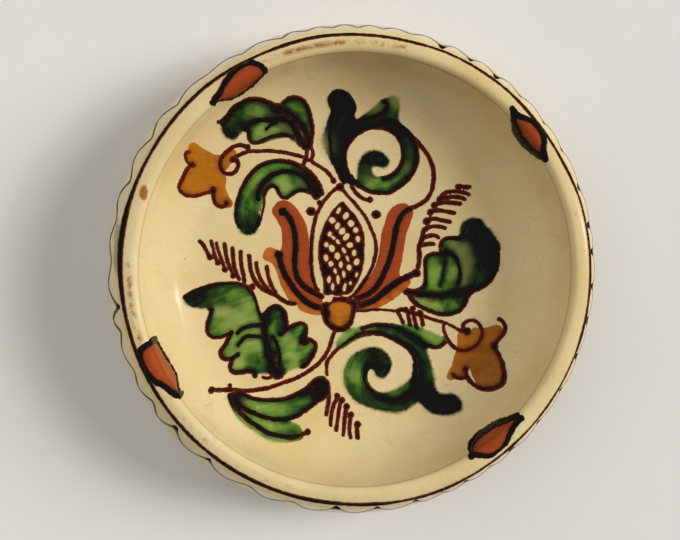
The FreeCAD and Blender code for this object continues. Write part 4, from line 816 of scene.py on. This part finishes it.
@cache
def distance_grid(nodes):
    """Distance in mm from each place of the grid to the nearest paint of some nodes, at most 3, 0 on it."""
    rows = np.concatenate([outline_of(node) for node in nodes])
    near, inside = distances(rows, (PLAN_LOW, PLAN_LOW), (PLAN_COUNT, PLAN_COUNT), PLAN_PITCH, 3.0)
    return np.where(inside, 0.0, near)


@cache
def soaked_grid(nodes):
    """Share of some nodes' paint in the few mm all round: half on a wash's edge, more within it."""
    share = (distance_grid(nodes) <= 0).astype(float)
    for _ in range(2):
        for axis in (0, 1):
            share = sum(np.roll(share, k, axis) for k in range(-4, 5)) / 9
    return share


def trailed_nodes():
    """The frame's nodes that are drawn in trailed slip, but for the two lines round the rim."""
    ends = ("_line", "_outline", "_lattice", "_ring", "_dots")
    return tuple(sorted(n for n in frame["nodes"] if n != "rim_line"
                        and (n.endswith(ends) or n.startswith(("fern_", "stem_", "rim_petal_edge_")))))


def brushed_nodes():
    """The frame's nodes that are brushed colours."""
    return tuple(sorted(n for n in frame["nodes"] if n.endswith(("_green", "_ochre")) or "_red" in n))


def plan_sheet(node, pitch, grow, waver, seed, hazes=()):
    """A node's outline grown and wavered, cut out of a fine grid: x, y, depth from the edge and triangles."""
    rows = outline_of(node)
    most = grow + max([haze[3] for haze in hazes], default=0)
    low = np.minimum(rows[:, :2].min(0), rows[:, 2:].min(0)) - most - 3 * pitch
    high = np.maximum(rows[:, :2].max(0), rows[:, 2:].max(0)) + most + 3 * pitch
    shape = tuple(int(k) for k in np.ceil((high - low) / pitch) + 1)
    near, inside = distances(rows, low, shape, pitch, 3.2 + most)
    gx, gy = np.meshgrid(low[0] + pitch * np.arange(shape[0]), low[1] + pitch * np.arange(shape[1]),
                         indexing="ij")
    field = np.where(inside, near, -near) + grow + soft_sum(gx, gy, hazes)
    field += waver * (0.8 * ripple(gx, gy, 2.3, seed) + ripple(gx, gy, 0.8, seed + 1))
    i, j, depth, tris = cut_sheet(field)
    return low[0] + pitch * i, low[1] + pitch * j, depth, tris


def darkening(x, y, depth, wet, pools):
    """How far a trailed line goes to black: where it lies in a wash or along its edge, most by a pool, and
    where it is thick."""
    pooled = blended(x, y, pools, POOL_AWAY, POOL_HOLD)
    within = smooth(read_grid(soaked_grid(wet), x, y), 0.03, 0.38) * (0.5 + 1.6 * pooled)
    beside = (0.6 + 0.5 * pooled) * (1 - smooth(read_grid(distance_grid(wet), x, y), 0.25, 1.0))
    thick = 0.9 * smooth(depth, 0.9, 1.6)
    return np.clip(np.maximum(np.maximum(within, beside), thick), 0, 0.98)


class PLATE_OT_trailed(bpy.types.Operator):
    """Lays the trailed slip lines of the drawing on the glaze"""
    bl_idname = "plate.trailed"
    bl_label = "Trailed lines"

    def execute(self, context):
        sizes, slip = context.scene.plate_sizes, tuple(context.scene.plate_colours.slip)
        material = manganese_slip("manganese_slip_trailed", [
            (place, tuple(c * k for c in slip))
            for place, k in ((0.0, 1.9), (0.16, 1.25), (0.45, 1), (0.75, 0.35), (1.0, 0.12))])
        wet = tuple(n for n in brushed_nodes() if n.endswith("_green") or "_red" in n)
        pools = [spot for n in wet for spot in POOLS.get(n, ())]
        for seed, node in enumerate(trailed_nodes()):
            on_rim = "petal_edge" in node
            grow = -0.2 if node == "pod_lattice" else 0.2 if node.startswith(("fern", "stem")) else 0.08
            x, y, depth, tris = plan_sheet(node, 0.25 if on_rim else 0.3, grow, sizes.waver / MM, 10 * seed)
            lift = bead(depth, sizes.trail / MM, 0.8) + 0.05 * ripple(x, y, 1.6, seed) * np.clip(depth, 0, 1)
            lift = np.where(depth <= 0, LINE_SUNK, lift)
            over = darkening(x, y, depth, wet, pools)
            if on_rim:
                over = np.maximum(over, 0.95)
            piece = sheet_object("trailed_" + node, SKIN.over(x, y, lift), tris,
                                 {"depth": depth, "over": over}, np.stack((x, y), 1))
            done(piece, material, frame_slot(node), node)
        return {"FINISHED"}


def streaks(node, x, y, seed):
    """Streaks that the brush left along its stroke, lighter and darker about 0."""
    stroke = STROKES.get(node, (0,))
    if len(stroke) == 1:
        a = math.radians(stroke[0])
        along, across = x * math.cos(a) + y * math.sin(a), y * math.cos(a) - x * math.sin(a)
    else:
        turning_r = 12                  # a middling radius of the scrolls, mm
        across = np.hypot(x - stroke[0], y - stroke[1])
        along = np.arctan2(y - stroke[1], x - stroke[0]) * turning_r
    return ripple(along, across * 6, 7.0, seed) + 0.6 * ripple(along, across * 9, 4.0, seed + 1)


class PLATE_OT_brushed(bpy.types.Operator):
    """Lays the brushed reds, ochres and greens between the lines"""
    bl_idname = "plate.brushed"
    bl_label = "Brushed colours"

    def execute(self, context):
        sizes, colours = context.scene.plate_sizes, context.scene.plate_colours
        green, red, ochre = tuple(colours.green), tuple(colours.red), tuple(colours.ochre)
        finishes = {
            "green": brushed_oxide("copper_green_in_glaze", colours, [
                (0.0, "#a0b25c"), (0.22, "#77963c"), (0.45, green), (0.7, "#254314"), (1.0, "#070c07")],
                linear("#b4ba66"), 0.06),
            "red": brushed_oxide("iron_red_brushed", colours, [
                (0.0, tuple(min(c * 1.2, 1) for c in red)), (0.4, red), (1.0, "#5e200e")],
                linear("#cf7a22"), 0.1),
            "ochre": brushed_oxide("ochre_brushed", colours, [
                (0.0, "#c27a1a"), (0.45, ochre), (1.0, "#75400e")], linear("#d39a40"), 0.15),
        }
        drawn = trailed_nodes()
        for seed, node in enumerate(brushed_nodes()):
            kind = next(k for k in finishes if "_" + k in node)
            # green runs in the glaze, the others stay where they were put; all stop at a trailed line
            bleed, fade = (sizes.bleed / MM, 1.9) if kind == "green" else (0.55, 0.4)
            hazes = HAZES.get(node, ())
            x, y, depth, tris = plan_sheet(node, 0.4, bleed, 0.13, 500 + 10 * seed, hazes)
            line = read_grid(distance_grid(drawn), x, y)
            by_line = np.exp(-(line / 0.9) ** 2)
            fade = fade + 0.8 * soft_sum(x, y, hazes)
            fade = fade + (np.minimum(0.7, fade) - fade) * by_line
            streak = streaks(node, x, y, seed + 900)
            pool = blended(x, y, POOLS.get(node, ()), POOL_AWAY, POOL_HOLD)
            pool = np.clip(pool + 0.09 * streak + 0.3 * np.exp(-(line / 1.2) ** 2), 0, 1.1)
            pale = 0.85 * blended(x, y, PALES.get(node, ()), 0, 1.0) * (1 - 0.5 * by_line)
            lift = sizes.wash / MM * np.clip(depth / 1.2, 0, 1) * (1 + 0.3 * pool)
            lift = np.where(depth <= 0, WASH_SUNK, lift + 0.01)
            piece = sheet_object("brushed_" + node, SKIN.over(x, y, lift), tris,
                                 {"cover": depth / fade, "pool": pool, "pale": pale}, np.stack((x, y), 1))
            done(piece, finishes[kind], frame_slot(node), node)
        return {"FINISHED"}


# ---- lines round the rim ------------------------------------------------------------------

def band_sheet(name, field, s0, pitch, angles, lift_of, material, node):
    """A line laid round the plate, from a grid of angle and length along the section."""
    i, j, depth, tris = cut_sheet(field)
    angle = angles[0] + i * (angles[1] - angles[0])
    s = s0 + pitch * j
    points = SKIN.along(s, angle, np.where(depth <= 0, LINE_SUNK, lift_of(depth)))
    piece = sheet_object(name, points, tris[:, ::-1], {"depth": depth}, np.stack((angle * 100, s), 1))
    # its two ends meet
    edited_alone(piece)
    bpy.ops.mesh.remove_doubles(threshold=WELD)
    bpy.ops.object.mode_set(mode="OBJECT")
    done(piece, material, "rim_slip", node)


# How the line on the lip runs: an angle in degrees, its radius and its width in mm.
RIM_LINE = [
    (0, 103.5, 1.5), (18, 103.3, 1.4), (28, 102.3, 1.5), (42, 102.2, 1.6), (50, 102.7, 1.7), (68, 102.6, 1.7),
    (77, 102.0, 1.5), (88, 102.2, 1.6), (100, 102.7, 1.7), (112, 102.3, 1.7), (120, 102.5, 1.7),
    (130, 103.1, 1.8), (150, 102.7, 1.8), (160, 102.9, 2.2), (168, 103.1, 3.0), (176, 102.9, 2.8),
    (186, 102.3, 2.2), (194, 102.1, 2.1), (225, 102.0, 2.1), (265, 102.2, 2.1), (278, 103.1, 1.9),
    (290, 103.9, 1.7), (305, 103.7, 1.4), (342, 103.9, 1.5), (360, 103.5, 1.5),
]


class PLATE_OT_rim_line(bpy.types.Operator):
    """Draws the dark line round the lip"""
    bl_idname = "plate.rim_line"
    bl_label = "Rim line"

    def execute(self, context):
        sizes = context.scene.plate_sizes
        base_r, half_band, pitch = 103.0, 3.0, 0.2
        angles = np.linspace(0, 2 * math.pi, 2161)
        base = SKIN.length_at(base_r)
        s0 = base - half_band
        s = s0 + pitch * np.arange(31)
        # 0 where the line's ends meet, so that they do, and growing away from there
        join = np.minimum(angles, 2 * math.pi - angles) / (2 * math.pi)
        at, middle, width = (np.array(column) for column in zip(*RIM_LINE))
        thick = np.interp(np.degrees(angles), at, width)
        thick += 0.35 * np.clip(ripple(angles * 9, angles * 0, 1.0, 3), -1, 1) * np.clip(join * 20, 0, 1)
        offset = s[None, :] - base - (np.interp(np.degrees(angles), at, middle) - base_r)[:, None]
        around, along = np.meshgrid(angles * base_r, s, indexing="ij")
        rough = 0.14 * ripple(around, along, 1.1, 8) * np.clip(join * 60, 0, 1)[:, None]
        field = thick[:, None] / 2 - np.abs(offset) + rough
        material = manganese_slip("manganese_slip_brushed_line", [
            (0.0, "#7a4426"), (0.2, "#44200f"), (0.45, "#220d07"), (0.75, "#100603")])
        band_sheet("trailed_rim_line", field, s0, pitch, angles,
                   lambda depth: bead(depth, sizes.trail / MM, 0.8), material, "rim_line")
        return {"FINISHED"}


# Upper tips of the garland's loops, each an angle in degrees and a radius in mm.
LOOP_TIPS = [
    (4.5, 105), (11, 105), (20.5, 105.1), (30.5, 105.5), (38.5, 105.5), (47, 105.5), (54.5, 104.8),
    (62, 105.1), (69.5, 104.8), (77, 107.2), (84, 107), (90, 106.6), (96, 107.3), (102, 107.7), (108, 106.8),
    (118, 107.4), (127, 108.2), (137.5, 106.5), (147.5, 106.3), (158.5, 106), (168, 107.4), (177.5, 107.6),
    (188.5, 105.2), (194.5, 106.5), (204, 107), (212.5, 106), (220.5, 104.8), (231.5, 105.1), (243, 105.8),
    (254, 105.7), (264.5, 104.8), (274.5, 105.1), (284, 105.3), (291, 105.7), (297, 105.4), (304, 105.6),
    (310.5, 104.9), (320, 105.4), (329.5, 105.5), (338.5, 105.1), (347.5, 105), (356, 105.2),
]


def garland_route(bottom, full, radius):
    """The garland's middle line as segments in lengths round the plate and along its section, with a loop's
    more at both ends, so that the two can meet."""
    draw = np.random.default_rng(7)
    parts = 18
    tips = [(math.radians(angle) * radius, SKIN.length_at(r)) for angle, r in LOOP_TIPS]
    tips.append((tips[0][0] + full, tips[0][1]))
    rows = []
    for (u0, s0), (u1, s1) in zip(tips, tips[1:]):
        deep = bottom + draw.uniform(-1.0, 0.5)
        lean = draw.uniform(0.9, 1.15)
        points = []
        for k in range(parts + 1):
            t = k / parts
            sag = math.sin(math.pi * t ** lean) ** 1.35
            level = s0 + (s1 - s0) * t
            points.append((u0 + (u1 - u0) * t, level + (deep - level) * sag))
        rows += [(*a, *b) for a, b in zip(points, points[1:])]
    rows += [(a - full, b, c - full, d) for a, b, c, d in rows[-parts:]]
    rows += [(a + full, b, c + full, d) for a, b, c, d in rows[:parts]]
    return np.array(rows)


class PLATE_OT_garland(bpy.types.Operator):
    """Trails the garland of loops round the collar"""
    bl_idname = "plate.garland"
    bl_label = "Garland"

    def execute(self, context):
        sizes = context.scene.plate_sizes
        radius, columns = 108.0, 1960   # lengths round the plate are taken at this radius
        low_z = 29.6                    # how far down the loops hang
        full = 2 * math.pi * radius
        pitch = full / columns
        top = SKIN.length_at(103.6)
        outside = SKIN.outermost - 60
        bottom = float(np.interp(-low_z, -SKIN.z[outside:], SKIN.s[outside:]))
        low = top - 2.2
        shape = (columns + 1, int((bottom + 2.4 - low) / pitch) + 1)
        near, _ = distances(garland_route(bottom, full, radius), (0.0, low), shape, pitch, 3.0)
        u, v = np.meshgrid(pitch * np.arange(shape[0]), low + pitch * np.arange(shape[1]), indexing="ij")
        # 0 where the line's ends meet, so that they do
        ends = np.clip(np.minimum(u, full - u) / 4, 0, 1)
        wide = 1.95 + 1.15 * (1 - smooth(v, top + 1.5, top + 8)) + 0.3 * ends * ripple(u, v, 5.0, 21)
        field = wide / 2 - near + 0.1 * ripple(u, v, 0.9, 22) * ends
        material = manganese_slip("manganese_slip_thin_line", [
            (0.0, "#4a3626"), (0.15, "#26170e"), (0.4, "#140b07"), (0.8, "#0b0604")], 0.1)
        band_sheet("trailed_rim_garland", field, low, pitch, np.arange(shape[0]) / radius * pitch,
                   lambda depth: bead(depth, 0.25 * sizes.trail / MM, 0.6), material, "rim_garland")
        return {"FINISHED"}


# ---- stage --------------------------------------------------------------------------------

# Far lamps, so that the table is lit evenly: name, place, strength, spread in degrees, shows in the gloss.
LAMPS = [
    ("key_light", (1.05, 0.22, 0.68), 2.4, 30, False),
    ("fill_light", (-0.8, 0.6, 0.9), 0.9, 60, False),
    ("glint_light", (0.95, 0.12, 0.66), 0.2, 5, True),
]


def table_finish(pale):
    """A pale matt table top, very slightly clouded."""
    material = bpy.data.materials.new("pale_matt_table")
    material.use_nodes = True
    tree = material.node_tree
    tree.nodes.clear()
    place = add(tree, "TexCoord").outputs["Object"]
    cloud = add(tree, "TexNoise", {"Vector": place, "Scale": 6.0, "Detail": 3.0})
    tone = add(tree, "ValToRGB", {"Fac": cloud}, stops=[(0.35, tuple(c * 0.97 for c in pale)), (0.65, pale)])
    shader = add(tree, "BsdfPrincipled", {"Base Color": tone, "Roughness": 0.9})
    add(tree, "OutputMaterial", {0: shader})
    return material


class PLATE_OT_stage(bpy.types.Operator):
    """Sets the table, the lamps and the camera"""
    bl_idname = "plate.stage"
    bl_label = "Stage"

    def execute(self, context):
        scene = context.scene
        bpy.ops.object.select_all(action="DESELECT")
        bpy.ops.mesh.primitive_plane_add(size=200, location=(0, 0, 0))
        floor = context.object
        floor.name = "table_top"
        floor.data.materials.append(table_finish(tuple(scene.plate_colours.floor)))

        for name, place, strength, spread, shines in LAMPS:
            light = bpy.data.lights.new(name, "SUN")
            light.energy, light.angle = strength, math.radians(spread)
            lamp = bpy.data.objects.new(name, light)
            scene.collection.objects.link(lamp)
            lamp.location = place
            lamp.rotation_euler = (-Vector(place)).to_track_quat("-Z", "Y").to_euler()
            lamp.visible_glossy = shines

        world = bpy.data.worlds.new("studio")
        scene.world = world
        world.use_nodes = True
        back = world.node_tree.nodes["Background"]
        back.inputs["Color"].default_value = (1, 1, 1, 1)
        back.inputs["Strength"].default_value = 0.22

        lens = bpy.data.cameras.new("view")
        lens.lens, lens.sensor_width = 53.2, 36.0
        camera = bpy.data.objects.new("view", lens)
        scene.collection.objects.link(camera)
        camera.location = (-0.044, 0.009, scene.plate_sizes.camera_height)
        # looks at a place just left of the plate's middle, with the frame's Y up in the picture
        aim = Vector((-0.00717, -0.00008, 0.029))
        forward = (aim - camera.location).normalized()
        right = forward.cross(Vector((0, 1, 0))).normalized()
        up = right.cross(forward)
        camera.rotation_euler = Matrix((right, up, -forward)).transposed().to_euler()
        scene.camera = camera
        scene.view_settings.view_transform = "Standard"
        return {"FINISHED"}


# ---- add-on -------------------------------------------------------------------------------

OPERATORS = (PLATE_OT_dish, PLATE_OT_foot, PLATE_OT_trailed, PLATE_OT_brushed, PLATE_OT_rim_line,
             PLATE_OT_garland, PLATE_OT_stage)


class PLATE_PT_panel(bpy.types.Panel):
    """The plate's pieces, sizes and colours"""
    bl_idname = "PLATE_PT_panel"
    bl_label = "Hand painted plate"
    bl_space_type = "VIEW_3D"
    bl_region_type = "UI"
    bl_category = "Plate"

    def draw(self, context):
        for operator in OPERATORS:
            self.layout.operator(operator.bl_idname)
        for group in (context.scene.plate_sizes, context.scene.plate_colours):
            for key in group.__annotations__:
                self.layout.prop(group, key)


CLASSES = (PlateSizes, PlateColours, *OPERATORS, PLATE_PT_panel)


def register():
    for cls in CLASSES:
        bpy.utils.register_class(cls)
    bpy.types.Scene.plate_sizes = PointerProperty(type=PlateSizes)
    bpy.types.Scene.plate_colours = PointerProperty(type=PlateColours)


def unregister():
    del bpy.types.Scene.plate_sizes
    del bpy.types.Scene.plate_colours
    for cls in reversed(CLASSES):
        bpy.utils.unregister_class(cls)


def main():
    register()
    bpy.ops.plate.dish()
    bpy.ops.plate.foot()
    bpy.ops.plate.trailed()
    bpy.ops.plate.brushed()
    bpy.ops.plate.rim_line()
    bpy.ops.plate.garland()
    bpy.ops.plate.stage()


if __name__ == "__main__":
    main()
